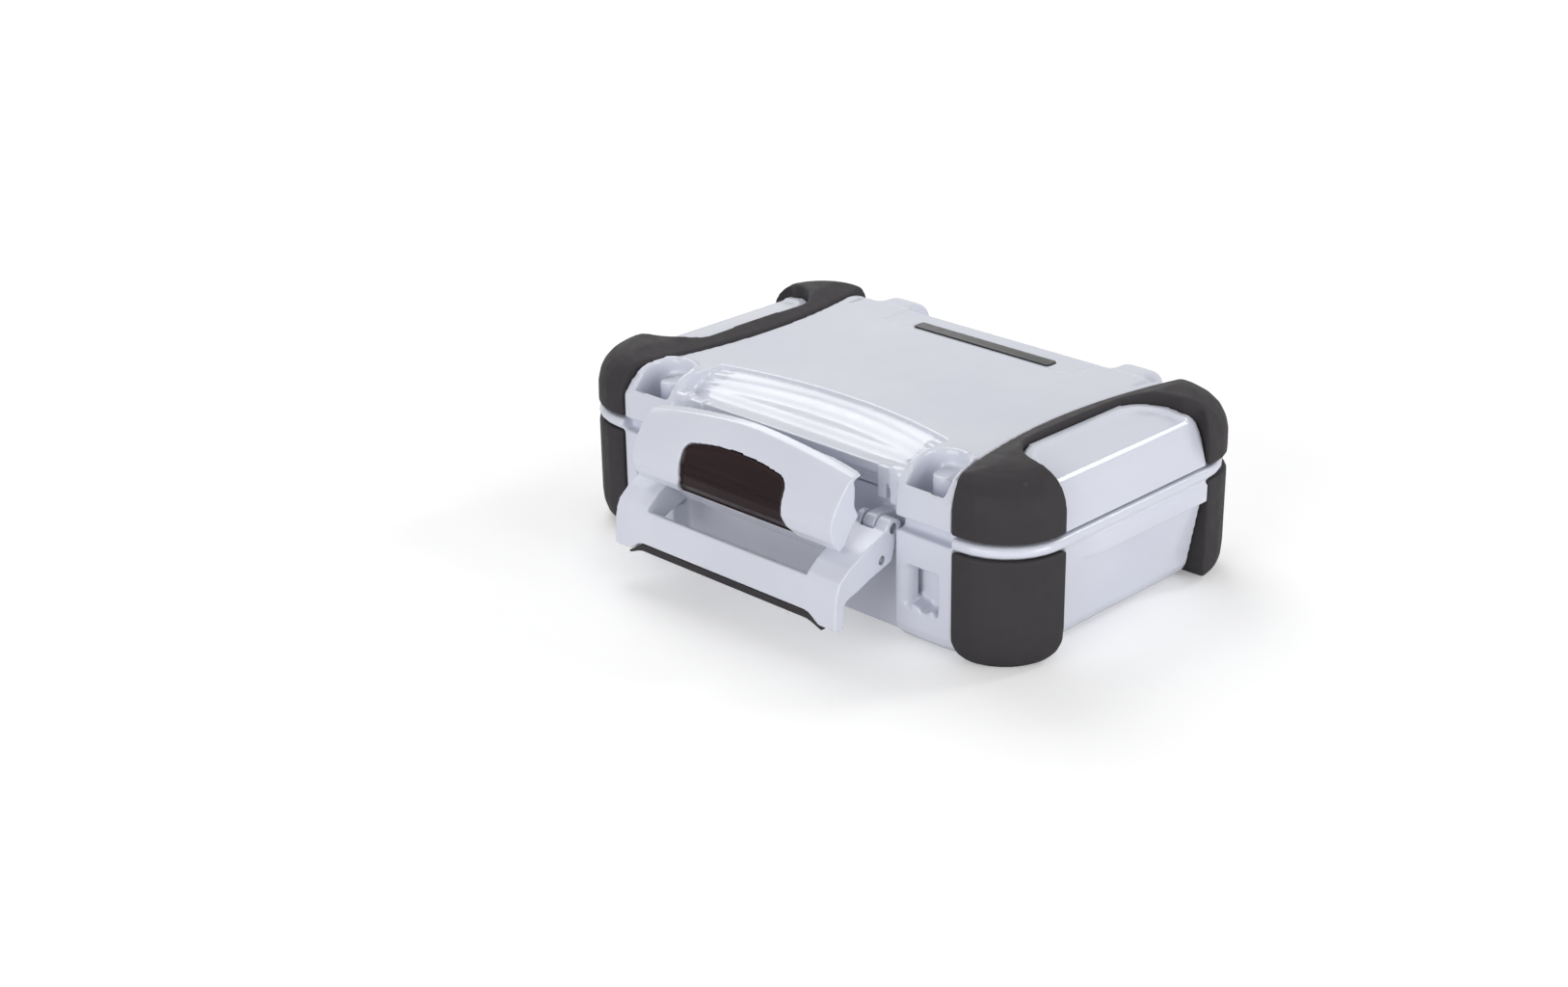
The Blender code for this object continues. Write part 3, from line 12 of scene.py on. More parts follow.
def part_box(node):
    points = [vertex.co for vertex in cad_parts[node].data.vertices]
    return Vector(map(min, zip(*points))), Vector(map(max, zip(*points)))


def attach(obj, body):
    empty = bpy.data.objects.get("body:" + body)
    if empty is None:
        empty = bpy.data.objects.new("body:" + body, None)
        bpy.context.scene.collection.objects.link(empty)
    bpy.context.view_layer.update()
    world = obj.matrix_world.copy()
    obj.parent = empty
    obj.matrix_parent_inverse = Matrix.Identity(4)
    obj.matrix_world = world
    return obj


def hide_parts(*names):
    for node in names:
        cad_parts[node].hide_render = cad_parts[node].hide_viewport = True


bl_info = {
    "name": "Waterproof hard case",
    "version": (1, 0, 0),
    "blender": (4, 5, 0),
    "location": "View3D > Sidebar > Hard case",
    "description": "Builds the case's moulded shells, bumpers, latch, linings and studio stage",
    "category": "Object",
}

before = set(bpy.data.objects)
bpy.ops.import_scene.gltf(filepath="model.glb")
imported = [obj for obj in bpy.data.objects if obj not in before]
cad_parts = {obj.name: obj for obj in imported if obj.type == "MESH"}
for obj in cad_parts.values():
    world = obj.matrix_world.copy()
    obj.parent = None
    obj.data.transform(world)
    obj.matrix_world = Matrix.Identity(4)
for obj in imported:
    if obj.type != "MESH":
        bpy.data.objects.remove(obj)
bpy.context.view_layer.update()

# Lengths are in metres. The case stands on z = 0, with its width along x and its latch towards -y.

# Camera: its picture in pixels, the angles it looks from in degrees, and where the case sits in
# its picture
IMAGE_WIDTH, IMAGE_HEIGHT = 1627, 1024
SENSOR_WIDTH = 36.0
CAMERA_AZIMUTH = 42.73
CAMERA_ELEVATION = 23.07
CAMERA_ROLL = -0.08
CAMERA_DISTANCE = 0.7179
CAMERA_SIDEWAYS = -0.01018
CAMERA_UPWARDS = 0.0115
CAMERA_FOCAL_PIXELS = 2521.77
CAMERA_CENTRE_X = 902.75
CAMERA_CENTRE_Y = 517.5
CAMERA_CLIP_START, CAMERA_CLIP_END = 0.01, 50

# Square lamps: name, the stage's property that holds the power, width and place
LAMPS = (
    ("key_lamp", "key_power", 0.65, (-0.62, 0.30, 0.80)),
    ("fill_lamp", "fill_power", 0.7, (0.10, -1.00, 0.30)),
    ("side_lamp", "side_power", 0.5, (1.05, 0.05, 0.26)),
    ("rim_lamp", "rim_power", 0.2, (0.45, 0.78, 0.72)),
)
LAMP_TARGET = (0, 0, 0.02)

# The floor's white, and the glow on it that only the camera sees, weaker near the case so that the
# floor there is painted darker:
# its strengths near the case and far off, and the distances between which it goes from one to the
# other
FLOOR_WHITE = (0.88, 0.88, 0.88)
GLOW_STRENGTHS_WITH_PAINTED_SHADE = (0.26, 1.0)
GLOW_DISTANCES = (0.3, 1.4)

# The most triangles that a piece keeps
SHELL_TRIANGLES = 180000
LINER_TRIANGLES = 120000
LEVER_TRIANGLES = 120000
CLAW_TRIANGLES = 110000
PAD_TRIANGLES = 90000
BUMPER_TRIANGLES = 70000
SEAL_TRIANGLES = 60000
THUMB_TRIANGLES = 50000
GRIP_TRIANGLES = 40000

# Rounding: how far one pass moves a vertex towards its neighbours, and the passes of small pieces
PASS_SHARE = 0.5
GRIP_PASSES = 4
LINER_PASSES = 4
SEAL_PASSES = 3
PAD_PASSES = 8

# How near two points of a node are the same point
MERGE_DISTANCE = 1e-6

# Pins and the label plate: sides and steps of their rounded edges, how many times a pin's rounded
# edge goes into its radius at least, and the angles in degrees past which an edge is sharp
PIN_SIDES = 40
EDGE_STEPS = 3
CORNER_STEPS = 6
PIN_EDGE_PARTS = 3
PIN_SHARP_ANGLE = 40
PLATE_SHARP_ANGLE = 50

# A cord slot of the base: its inner side, front face, back, sill and head
SLOT_INNER = 0.0486
SLOT_FRONT = -0.0522
SLOT_BACK = -0.0468
SLOT_SILL = 0.0112
SLOT_HEAD = 0.0236
# The sill of a cord slot and its two teeth: start, end, bottom, top and front
SILL_BOXES = (
    (0.0480, 0.0590, 0.0085, 0.0112, -0.0520),
    (0.0505, 0.0520, 0.0100, 0.0124, -0.0519),
    (0.0551, 0.0566, 0.0100, 0.0124, -0.0519),
)
# The rounding of the bar beside a slot: how far past the slot's sill and head it starts, how far
# inside them it is full, and how far across the bar it reaches, as a share of its radius
BAR_OUTSIDE = 0.0006
BAR_INSIDE = 0.0016
BAR_REACH = 1.1

# A side ledge: its front end, how far before that it may start, the run over which it comes out of
# the wall, its bottom and top, and the wall behind it
LEDGE_FRONT = -0.0240
LEDGE_LEAD = 0.0005
LEDGE_RUN = 0.0105
LEDGE_BOTTOM = 0.0252
LEDGE_TOP = 0.0325
WALL_X = 0.0782
WALL_DRAFT = 0.1842

# Regions of the lid that are rounded further: limits of the distance from the middle, of y and of z
HINGE_HUMPS = ((0.0370, 0.0540), (0.0420, math.inf), (0.0400, math.inf))
RECESS_STEPS = ((0, 0.0385), (-0.0462, -0.0245), (0.0462, 0.0514))
LOW_RECESS_STEPS = ((0, 0.0375), (-0.0455, -0.0245), (0.0462, 0.0496))

# Upward parts of a normal between which a side panel's sinking and a pocket's rim fade in
PANEL_SLOPES = (0.6, 0.9)
RIM_SLOPES = (0.3, 0.8)
# The share of a pocket rim's width that lies inside the round back of the pocket
RIM_INSIDE = 0.25

# The thumb pad's face: normals whose y is below this are on it, and the distances from the claw
# between which it sinks
THUMB_FACING = -0.4
THUMB_LIP = (0.00055, 0.00095)


def colour(name, description, default):
    return FloatVectorProperty(
        name=name, description=description, default=default, subtype="COLOR", size=3, min=0, max=1
    )


def length(name, description, default):
    return FloatProperty(
        name=name, description=description, default=default, unit="LENGTH", subtype="DISTANCE",
        min=0, precision=5,
    )


def share(name, description, default):
    return FloatProperty(
        name=name, description=description, default=default, subtype="FACTOR", min=0, max=1
    )


def power(name, description, default):
    return FloatProperty(name=name, description=description, default=default, unit="POWER")


def count(name, description, default):
    return IntProperty(name=name, description=description, default=default, min=0)


class CASE_PG_finishes(bpy.types.PropertyGroup):
    """Colours and gloss of the case's materials"""

    plastic: colour(
        "Shell plastic", "Cool white of the moulded shells and latch", (0.685, 0.705, 0.785)
    )
    plastic_deep: colour(
        "Shell plastic, thick", "The same white where the moulding is thicker", (0.64, 0.66, 0.75)
    )
    plastic_roughness: share("Shell roughness", "Roughness of the moulded plastic", 0.18)
    rubber: colour("Bumper rubber", "Charcoal of the corner bumpers", (0.048, 0.0445, 0.0475))
    rubber_dust: colour(
        "Bumper rubber, worn", "The rubber where handling has paled it", (0.056, 0.053, 0.056)
    )
    rubber_roughness: share("Rubber roughness", "Roughness of the bumper rubber", 0.58)
    thumb: colour("Thumb pad", "Near-black brown of the thumb pad", (0.009, 0.003, 0.0035))
    label: colour("Label plate", "Dark plate on the lid", (0.012, 0.012, 0.014))
    liner: colour("Liner rubber", "Soft lining of the base", (0.10, 0.10, 0.105))
    foam: colour("Pad foam", "Foam pad under the lid", (0.055, 0.055, 0.058))
    seal: colour("Seal rubber", "The ring that keeps water out", (0.17, 0.17, 0.18))
    steel: colour("Pin steel", "Hinge and latch pins", (0.56, 0.56, 0.57))


class CASE_PG_mouldings(bpy.types.PropertyGroup):
    """How the moulded pieces are rounded and shaped"""

    shell_grain: length("Shell step", "Finest step of the shells' rounded surface", 0.0005)
    latch_grain: length("Latch step", "Finest step of the latch's rounded surface", 0.00032)
    rubber_grain: length("Bumper step", "Finest step of the bumpers' rounded surface", 0.00034)
    shell_passes: count("Shell rounding", "Rounding passes on the shells", 7)
    latch_passes: count("Latch rounding", "Rounding passes on the latch", 7)
    rubber_passes: count("Rubber rounding", "Rounding passes on the rubber", 24)
    panel_border: length("Panel border", "Width of the border round a side panel", 0.0035)
    panel_step: length("Panel step", "Half the run of the step at a side panel's border", 0.0003)
    panel_depth: length("Panel depth", "How far a side panel is sunk", 0.0007)
    pocket_middle: length("Pocket middle", "Distance of a pocket's middle from the case's", 0.0525)
    pocket_radius: length("Pocket radius", "Radius of a pocket's round back", 0.0067)
    pocket_centre: FloatProperty(
        name="Pocket centre", description="Centre of a pocket's round back", default=-0.0435,
        unit="LENGTH",
    )
    rim_width: length("Rim width", "Width of a pocket's raised rim", 0.0026)
    rim_height: length("Rim height", "Height of a pocket's raised rim", 0.0009)
    terrace_passes: count(
        "Terrace rounding", "Extra rounding passes on the recess's steps and the hinge humps", 40
    )
    bar_radius: length("Cord bar radius", "Radius of the bar beside a cord slot", 0.0042)
    thumb_depth: length(
        "Thumb pad depth", "How far the thumb pad's face is sunk inside its lip", 0.00045
    )
    plate_corner: length("Label corner", "Corner radius of the label plate", 0.0008)
    plate_edge: length("Label edge", "Rounded edge of the label plate", 0.00012)
    pin_edge: length("Pin edge", "Rounded edge of a pin's end", 0.00025)


class CASE_PG_stage(bpy.types.PropertyGroup):
    """Lamps and floor"""

    key_power: power("Key lamp", "Soft lamp above and behind", 4.6)
    fill_power: power("Fill lamp", "Soft lamp in front", 5.1)
    side_power: power("Side lamp", "Soft lamp at the right", 4.8)
    rim_power: power("Rim lamp", "Small lamp high behind", 1.7)
    sky: share("Sky", "Strength of the even light from all round", 0.32)
    floor_size: length("Floor size", "Width of the floor", 6.0)


def settings(group):
    return getattr(bpy.context.scene, group)


# Helpers for shapes


def link(obj):
    bpy.context.scene.collection.objects.link(obj)
    return obj


def object_from(bm, name):
    """A new object with a bmesh's shape."""
    mesh = bpy.data.meshes.new(name)
    bm.to_mesh(mesh)
    bm.free()
    return link(bpy.data.objects.new(name, mesh))


def merged_copy(node, name):
    """A new object with a node's mesh, its loose triangles joined."""
    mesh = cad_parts[node].data.copy()
    mesh.name = name
    mesh.materials.clear()
    bm = bmesh.new()
    bm.from_mesh(mesh)
    bmesh.ops.remove_doubles(bm, verts=bm.verts, dist=MERGE_DISTANCE)
    bm.to_mesh(mesh)
    bm.free()
    return link(bpy.data.objects.new(name, mesh))


def applied(obj):
    """The object with its modifiers taken into its mesh."""
    depsgraph = bpy.context.evaluated_depsgraph_get()
    mesh = bpy.data.meshes.new_from_object(obj.evaluated_get(depsgraph))
    old = obj.data
    obj.modifiers.clear()
    obj.data = mesh
    mesh.name = obj.name
    bpy.data.meshes.remove(old)
    return obj


def smooth_all(obj):
    obj.data.polygons.foreach_set("use_smooth", [True] * len(obj.data.polygons))
    obj.data.update()
    return obj


def box_matrix(low, high):
    """What turns a unit cube into the box between two corners."""
    return Matrix.Translation((low + high) / 2) @ Matrix.Diagonal((*(high - low), 1))


def add_boxes(mesh, boxes):
    """Adds a solid box to a mesh for each pair of corners."""
    bm = bmesh.new()
    bm.from_mesh(mesh)
    for low, high in boxes:
        bmesh.ops.create_cube(bm, size=1, matrix=box_matrix(Vector(low), Vector(high)))
    bm.to_mesh(mesh)
    bm.free()


def round_edges(bm, edges, width, steps):
    bmesh.ops.bevel(
        bm, geom=edges, offset=width, segments=steps, profile=0.5, affect="EDGES", material=-1
    )


def thinned(obj, triangles):
    """The object with fewer triangles, shaded as the full skin was."""
    found = sum(len(face.vertices) - 2 for face in obj.data.polygons)
    smooth_all(obj)
    if found <= triangles:
        return obj
    full = link(bpy.data.objects.new("full_skin", obj.data.copy()))
    thin = obj.modifiers.new("thin", "DECIMATE")
    thin.ratio = triangles / found
    applied(obj)
    smooth_all(obj)
    shading = obj.modifiers.new("shading", "DATA_TRANSFER")
    shading.object = full
    shading.use_loop_data = True
    shading.data_types_loops = {"CUSTOM_NORMAL"}
    shading.loop_mapping = "POLYINTERP_NEAREST"
    applied(obj)
    bpy.data.objects.remove(full, do_unlink=True)
    return obj


def within(point, region):
    """Whether a point of either side of the case is in a region."""
    (near, far), (front, back), (low, high) = region
    return near <= abs(point.x) <= far and front <= point.y <= back and low <= point.z <= high


def softened(obj, passes, *regions):
    """The object with more rounding in some regions."""
    group = obj.vertex_groups.new(name="soft")
    chosen = [
        vert.index
        for vert in obj.data.vertices
        if any(within(vert.co, region) for region in regions)
    ]
    group.add(chosen, 1, "REPLACE")
    ease = obj.modifiers.new("soften", "SMOOTH")
    ease.vertex_group = group.name
    ease.factor = PASS_SHARE
    ease.iterations = passes
    applied(obj)
    obj.vertex_groups.clear()
    return obj


def rounded(node, name, grain, passes, triangles, carve=None, boxes=()):
    """A copy of a node, with any boxes added, as one even skin with a moulding's soft edges."""
    obj = merged_copy(node, name)
    if boxes:
        add_boxes(obj.data, boxes)
    remesh = obj.modifiers.new("skin", "REMESH")
    remesh.mode = "VOXEL"
    remesh.voxel_size = grain * 1
    remesh.adaptivity = 0
    applied(obj)
    ease = obj.modifiers.new("ease", "SMOOTH")
    ease.factor = PASS_SHARE
    ease.iterations = passes
    applied(obj)
    if carve is not None:
        carve(obj)
        obj.data.update()
    return thinned(obj, triangles)


def eased(value, start, end):
    """0 below start, 1 above end, and smooth between them."""
    part = min(max((value - start) / (end - start), 0), 1)
    return part * part * (3 - 2 * part)


def nearest_on(*nodes):
    """Trees that find the nearest point on each node."""
    trees = []
    for node in nodes:
        bm = bmesh.new()
        bm.from_mesh(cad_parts[node].data)
        trees.append(BVHTree.FromBMesh(bm))
        bm.free()
    return trees


def slopes(obj):
    """How much each vertex faces up."""
    return [normal.vector.z for normal in obj.data.vertex_normals]


def finish_piece(obj, material, body, slot, *nodes):
    """Gives a piece its material and enters it in the frame."""
    obj.data.materials.clear()
    obj.data.materials.append(material)
    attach(obj, body)
    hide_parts(*nodes)
    return obj


# Helpers for materials


def blank_material(name):
    """A new material with its nodes, links and shader, or an earlier one of that name alone."""
    old = bpy.data.materials.get(name)
    if old:
        return old, None, None, None
    material = bpy.data.materials.new(name)
    material.use_nodes = True
    tree = material.node_tree
    return material, tree.nodes, tree.links, tree.nodes["Principled BSDF"]


def shaded(tone, factor):
    """A colour made darker or paler."""
    return tuple(min(1, factor * part) for part in tone)


def add(nodes, kind, **values):
    """A new node with some of its properties set."""
    node = nodes.new(kind)
    for key, value in values.items():
        setattr(node, key, value)
    return node


def place(nodes):
    return nodes.new("ShaderNodeTexCoord").outputs["Object"]


def drawn_out(nodes, links, where, squeeze):
    """Coordinates in which a pattern runs in long lines along the case's width."""
    node = nodes.new("ShaderNodeMapping")
    node.inputs["Scale"].default_value = (squeeze, 1, 1)
    links.new(where, node.inputs["Vector"])
    return node.outputs["Vector"]


def noise(nodes, links, where, scale, detail, roughness=0.5):
    node = nodes.new("ShaderNodeTexNoise")
    node.inputs["Scale"].default_value = scale
    node.inputs["Detail"].default_value = detail
    node.inputs["Roughness"].default_value = roughness
    links.new(where, node.inputs["Vector"])
    return node.outputs["Fac"]


def spread(nodes, links, value, low=0, high=1, start=0.3, end=0.7):
    """A value between low and high, from one between start and end."""
    node = nodes.new("ShaderNodeMapRange")
    node.inputs["From Min"].default_value = start
    node.inputs["From Max"].default_value = end
    node.inputs["To Min"].default_value = low
    node.inputs["To Max"].default_value = high
    links.new(value, node.inputs["Value"])
    return node.outputs["Result"]


def blend_colours(nodes, links, value, first, second):
    """A colour between two, each given as a tone or as a node's output."""
    node = add(nodes, "ShaderNodeMix", data_type="RGBA")
    links.new(value, node.inputs["Factor"])
    for socket, tone in ((node.inputs["A"], first), (node.inputs["B"], second)):
        if isinstance(tone, bpy.types.NodeSocket):
            links.new(tone, socket)
        else:
            socket.default_value = (*tone, 1)
    return [out for out in node.outputs if out.type == "RGBA"][0]


def bump(nodes, links, height, strength, distance, under=None):
    node = nodes.new("ShaderNodeBump")
    node.inputs["Strength"].default_value = strength
    node.inputs["Distance"].default_value = distance
    links.new(height, node.inputs["Height"])
    if under is not None:
        links.new(under, node.inputs["Normal"])
    return node.outputs["Normal"]


def tint(nodes, links, shader, pattern, first, second):
    """Lets a pattern carry the shader's colour from one tone to another."""
    tones = blend_colours(nodes, links, spread(nodes, links, pattern), first, second)
    links.new(tones, shader.inputs["Base Color"])


def roughen(nodes, links, shader, pattern, low, high):
    """Lets a pattern carry the shader's roughness from low to high."""
    links.new(spread(nodes, links, pattern, low, high), shader.inputs["Roughness"])


def moulded_plastic():
    """Satin white plastic with a faint moulded grain and slight unevenness."""
    material, nodes, links, shader = blank_material("moulded_plastic")
    if nodes is None:
        return material
    tones = settings("case_finishes")
    where = place(nodes)
    cloud = noise(nodes, links, where, scale=22, detail=3)
    tint(nodes, links, shader, cloud, tones.plastic, tones.plastic_deep)
    patches = noise(nodes, links, where, scale=140, detail=4)
    middle = tones.plastic_roughness
    roughen(nodes, links, shader, patches, low=middle - 0.05, high=middle + 0.06)
    waves = noise(nodes, links, where, scale=45, detail=1)
    skin = bump(nodes, links, waves, strength=0.06, distance=0.0005)
    grain = noise(nodes, links, where, scale=2600, detail=2)
    fine = bump(nodes, links, grain, strength=0.03, distance=0.00004, under=skin)
    links.new(fine, shader.inputs["Normal"])
    shader.inputs["Specular IOR Level"].default_value = 0.5
    return material


def bumper_rubber():
    """Charcoal rubber with a spark-eroded grain, paler where it is rubbed."""
    material, nodes, links, shader = blank_material("bumper_rubber")
    if nodes is None:
        return material
    tones = settings("case_finishes")
    where = place(nodes)
    cloud = noise(nodes, links, where, scale=45, detail=4)
    dark = shaded(tones.rubber, 0.86)
    clean = blend_colours(nodes, links, spread(nodes, links, cloud), tones.rubber, dark)
    edge = nodes.new("ShaderNodeNewGeometry").outputs["Pointiness"]
    speck = noise(nodes, links, where, scale=900, detail=3, roughness=0.6)
    rubbed = add(nodes, "ShaderNodeMath", operation="MULTIPLY")
    links.new(spread(nodes, links, edge, start=0.505, end=0.56), rubbed.inputs[0])
    links.new(spread(nodes, links, speck, low=0.3, start=0.35, end=0.65), rubbed.inputs[1])
    worn = blend_colours(nodes, links, rubbed.outputs[0], clean, tones.rubber_dust)
    links.new(worn, shader.inputs["Base Color"])
    patches = noise(nodes, links, where, scale=300, detail=3)
    middle = tones.rubber_roughness
    roughen(nodes, links, shader, patches, low=middle - 0.06, high=middle + 0.08)
    grain = noise(nodes, links, where, scale=2200, detail=3, roughness=0.6)
    pores = bump(nodes, links, grain, strength=0.35, distance=0.0001)
    links.new(pores, shader.inputs["Normal"])
    shader.inputs["Specular IOR Level"].default_value = 0.1
    return material


def thumb_gloss():
    """Near-black glossy rubber with faint flow lines."""
    material, nodes, links, shader = blank_material("thumb_glossy_rubber")
    if nodes is None:
        return material
    tones = settings("case_finishes")
    where = place(nodes)
    along = drawn_out(nodes, links, where, 0.05)
    lines = noise(nodes, links, along, scale=700, detail=4, roughness=0.6)
    tint(nodes, links, shader, lines, tones.thumb, shaded(tones.thumb, 2.4))
    patches = noise(nodes, links, where, scale=200, detail=4)
    roughen(nodes, links, shader, patches, low=0.16, high=0.28)
    ripples = bump(nodes, links, lines, strength=0.12, distance=0.00008)
    links.new(ripples, shader.inputs["Normal"])
    shader.inputs["Specular IOR Level"].default_value = 0.16
    return material


def label_dark():
    """Dark satin plate with a fine even grain."""
    material, nodes, links, shader = blank_material("label_satin_plate")
    if nodes is None:
        return material
    tones = settings("case_finishes")
    where = place(nodes)
    along = drawn_out(nodes, links, where, 0.08)
    grain = noise(nodes, links, along, scale=2400, detail=3)
    tint(nodes, links, shader, grain, tones.label, shaded(tones.label, 1.7))
    patches = noise(nodes, links, where, scale=500, detail=3)
    roughen(nodes, links, shader, patches, low=0.28, high=0.42)
    brushed = bump(nodes, links, grain, strength=0.1, distance=0.00004)
    links.new(brushed, shader.inputs["Normal"])
    return material


def lining_rubber(name, tone, grain_scale, grain_strength, middle):
    """Soft rubber of a lining or a seal, with a fine dull grain and a middle roughness."""
    material, nodes, links, shader = blank_material(name)
    if nodes is None:
        return material
    where = place(nodes)
    cloud = noise(nodes, links, where, scale=80, detail=4)
    tint(nodes, links, shader, cloud, tone, shaded(tone, 0.8))
    patches = noise(nodes, links, where, scale=240, detail=3)
    roughen(nodes, links, shader, patches, low=middle - 0.05, high=middle + 0.06)
    grain = noise(nodes, links, where, scale=grain_scale, detail=3, roughness=0.6)
    pores = bump(nodes, links, grain, strength=grain_strength, distance=0.00012)
    links.new(pores, shader.inputs["Normal"])
    shader.inputs["Sheen Weight"].default_value = 0.1
    return material


def pad_foam():
    """Open-celled foam, with painted shade darkening it away from each cell's centre."""
    material, nodes, links, shader = blank_material("pad_open_foam")
    if nodes is None:
        return material
    tones = settings("case_finishes")
    cells = add(nodes, "ShaderNodeTexVoronoi", feature="F1")
    cells.inputs["Scale"].default_value = 1500
    links.new(place(nodes), cells.inputs["Vector"])
    walls = cells.outputs["Distance"]
    # Painted shade: the foam's colour darkens with the distance from each cell's centre.
    depth = spread(nodes, links, walls, start=0.2, end=0.7)
    base = blend_colours(nodes, links, depth, tones.foam, shaded(tones.foam, 0.35))
    links.new(base, shader.inputs["Base Color"])
    shader.inputs["Roughness"].default_value = 0.92
    shader.inputs["Sheen Weight"].default_value = 0.25
    pits = bump(nodes, links, walls, strength=0.6, distance=0.0004)
    links.new(pits, shader.inputs["Normal"])
    return material


def pin_steel():
    """Drawn steel wire, with fine lines along it."""
    material, nodes, links, shader = blank_material("pin_drawn_steel")
    if nodes is None:
        return material
    tones = settings("case_finishes")
    along = drawn_out(nodes, links, place(nodes), 0.04)
    lines = noise(nodes, links, along, scale=6000, detail=3)
    tint(nodes, links, shader, lines, tones.steel, shaded(tones.steel, 0.75))
    shader.inputs["Metallic"].default_value = 1.0
    roughen(nodes, links, shader, lines, low=0.26, high=0.40)
    return material


# Pieces


def round_cord_bars(base):
    """Rounds the bar between each cord slot and the latch bay on the slot's side."""
    radius = settings("case_mouldings").bar_radius
    for vert in base.data.vertices:
        across = abs(vert.co.x) - (SLOT_INNER - radius)
        if not 0 < across < radius * BAR_REACH or vert.co.y > SLOT_FRONT + radius:
            continue
        above_sill = eased(vert.co.z, SLOT_SILL - BAR_OUTSIDE, SLOT_SILL + BAR_INSIDE)
        above_head = eased(vert.co.z, SLOT_HEAD - BAR_INSIDE, SLOT_HEAD + BAR_OUTSIDE)
        back = radius - math.sqrt(max(radius**2 - min(across, radius) ** 2, 0))
        vert.co.y = max(vert.co.y, SLOT_FRONT + back * (above_sill * (1 - above_head)))


def taper_ledges(base):
    """Lets the front end of each side ledge run out into the wall."""
    for vert in base.data.vertices:
        on_end = LEDGE_FRONT - LEDGE_LEAD < vert.co.y < LEDGE_FRONT + LEDGE_RUN
        if not (on_end and LEDGE_BOTTOM < vert.co.z < LEDGE_TOP):
            continue
        wall = WALL_X + WALL_DRAFT * vert.co.z
        if abs(vert.co.x) > wall:
            proud = (abs(vert.co.x) - wall) * eased(vert.co.y, LEDGE_FRONT, LEDGE_FRONT + LEDGE_RUN)
            vert.co.x = math.copysign(wall + proud, vert.co.x)


def carve_base(base):
    round_cord_bars(base)
    taper_ledges(base)


def make_base():
    sizes = settings("case_mouldings")
    sills = []
    for side in (-1, 1):
        for start, end, low, high, front in SILL_BOXES:
            ends = sorted((side * start, side * end))
            sills.append(((ends[0], front, low), (ends[1], SLOT_BACK, high)))
    base = rounded(
        "base_shell", "base_moulding", sizes.shell_grain, sizes.shell_passes, SHELL_TRIANGLES,
        carve_base, sills,
    )
    finish_piece(base, moulded_plastic(), "base", "shell_plastic", "base_shell")


def sink_side_panels(lid, sizes):
    """Sinks the sloping part of each side window a little, inside a border along the bumper."""
    trees = nearest_on("lid_bumper_left", "lid_bumper_right")
    inner = min(abs(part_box("lid_bumper_right")[0].x), abs(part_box("lid_bumper_left")[1].x))
    start, end = sizes.panel_border - sizes.panel_step, sizes.panel_border + sizes.panel_step
    for vert, slope in zip(lid.data.vertices, slopes(lid)):
        if abs(vert.co.x) < inner or slope < PANEL_SLOPES[0]:
            continue
        sunk = eased(trees[vert.co.x > 0].find_nearest(vert.co)[3], start, end)
        vert.co.z -= sizes.panel_depth * sunk * eased(slope, *PANEL_SLOPES)


def raise_pocket_rims(lid, sizes):
    """Raises a round rim about each of the lid's front pockets."""
    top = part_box("lid_shell")[1].z
    inside = sizes.rim_width * RIM_INSIDE
    for vert, slope in zip(lid.data.vertices, slopes(lid)):
        if vert.co.z < top - sizes.rim_width or slope < RIM_SLOPES[0]:
            continue
        across = abs(vert.co.x) - sizes.pocket_middle
        along = vert.co.y - sizes.pocket_centre
        out = math.hypot(across, max(along, 0)) - sizes.pocket_radius
        if -inside < out < sizes.rim_width:
            swell = math.sin(math.pi * (out + inside) / ((1 + RIM_INSIDE) * sizes.rim_width))
            vert.co.z += sizes.rim_height * swell * eased(slope, *RIM_SLOPES)


def carve_lid(lid):
    sizes = settings("case_mouldings")
    softened(lid, sizes.terrace_passes, HINGE_HUMPS, RECESS_STEPS)
    softened(lid, sizes.terrace_passes // 2, LOW_RECESS_STEPS)
    sink_side_panels(lid, sizes)
    raise_pocket_rims(lid, sizes)


def make_lid():
    sizes = settings("case_mouldings")
    lid = rounded(
        "lid_shell", "lid_moulding", sizes.shell_grain, sizes.shell_passes, SHELL_TRIANGLES,
        carve_lid,
    )
    finish_piece(lid, moulded_plastic(), "lid", "shell_plastic", "lid_shell")


def make_bumpers():
    sizes = settings("case_mouldings")
    corners = ("front_left", "front_right", "rear_left", "rear_right")
    homes = [(f"base_bumper_{corner}", "base") for corner in corners]
    homes += [(f"lid_bumper_{side}", "lid") for side in ("left", "right")]
    for node, body in homes:
        bumper = rounded(
            node, f"{node}_rubber", sizes.rubber_grain, sizes.rubber_passes, BUMPER_TRIANGLES
        )
        finish_piece(bumper, bumper_rubber(), body, "corner_rubber", node)


def make_latch():
    sizes = settings("case_mouldings")
    lever = rounded(
        "latch_lever", "lever_moulding", sizes.latch_grain, sizes.latch_passes, LEVER_TRIANGLES
    )
    finish_piece(lever, moulded_plastic(), "lever", "shell_plastic", "latch_lever")
    claw = rounded(
        "latch_claw", "claw_moulding", sizes.latch_grain, sizes.latch_passes, CLAW_TRIANGLES
    )
    finish_piece(claw, moulded_plastic(), "claw", "shell_plastic", "latch_claw")


def sink_thumb_pad(pad):
    """Sinks the face of the thumb pad inside a narrow lip."""
    depth = settings("case_mouldings").thumb_depth
    claw = nearest_on("latch_claw")[0]
    normals = [normal.vector.copy() for normal in pad.data.vertex_normals]
    for vert, normal in zip(pad.data.vertices, normals):
        if normal.y < THUMB_FACING:
            gap = claw.find_nearest(vert.co)[3]
            vert.co -= normal * depth * eased(gap, *THUMB_LIP)


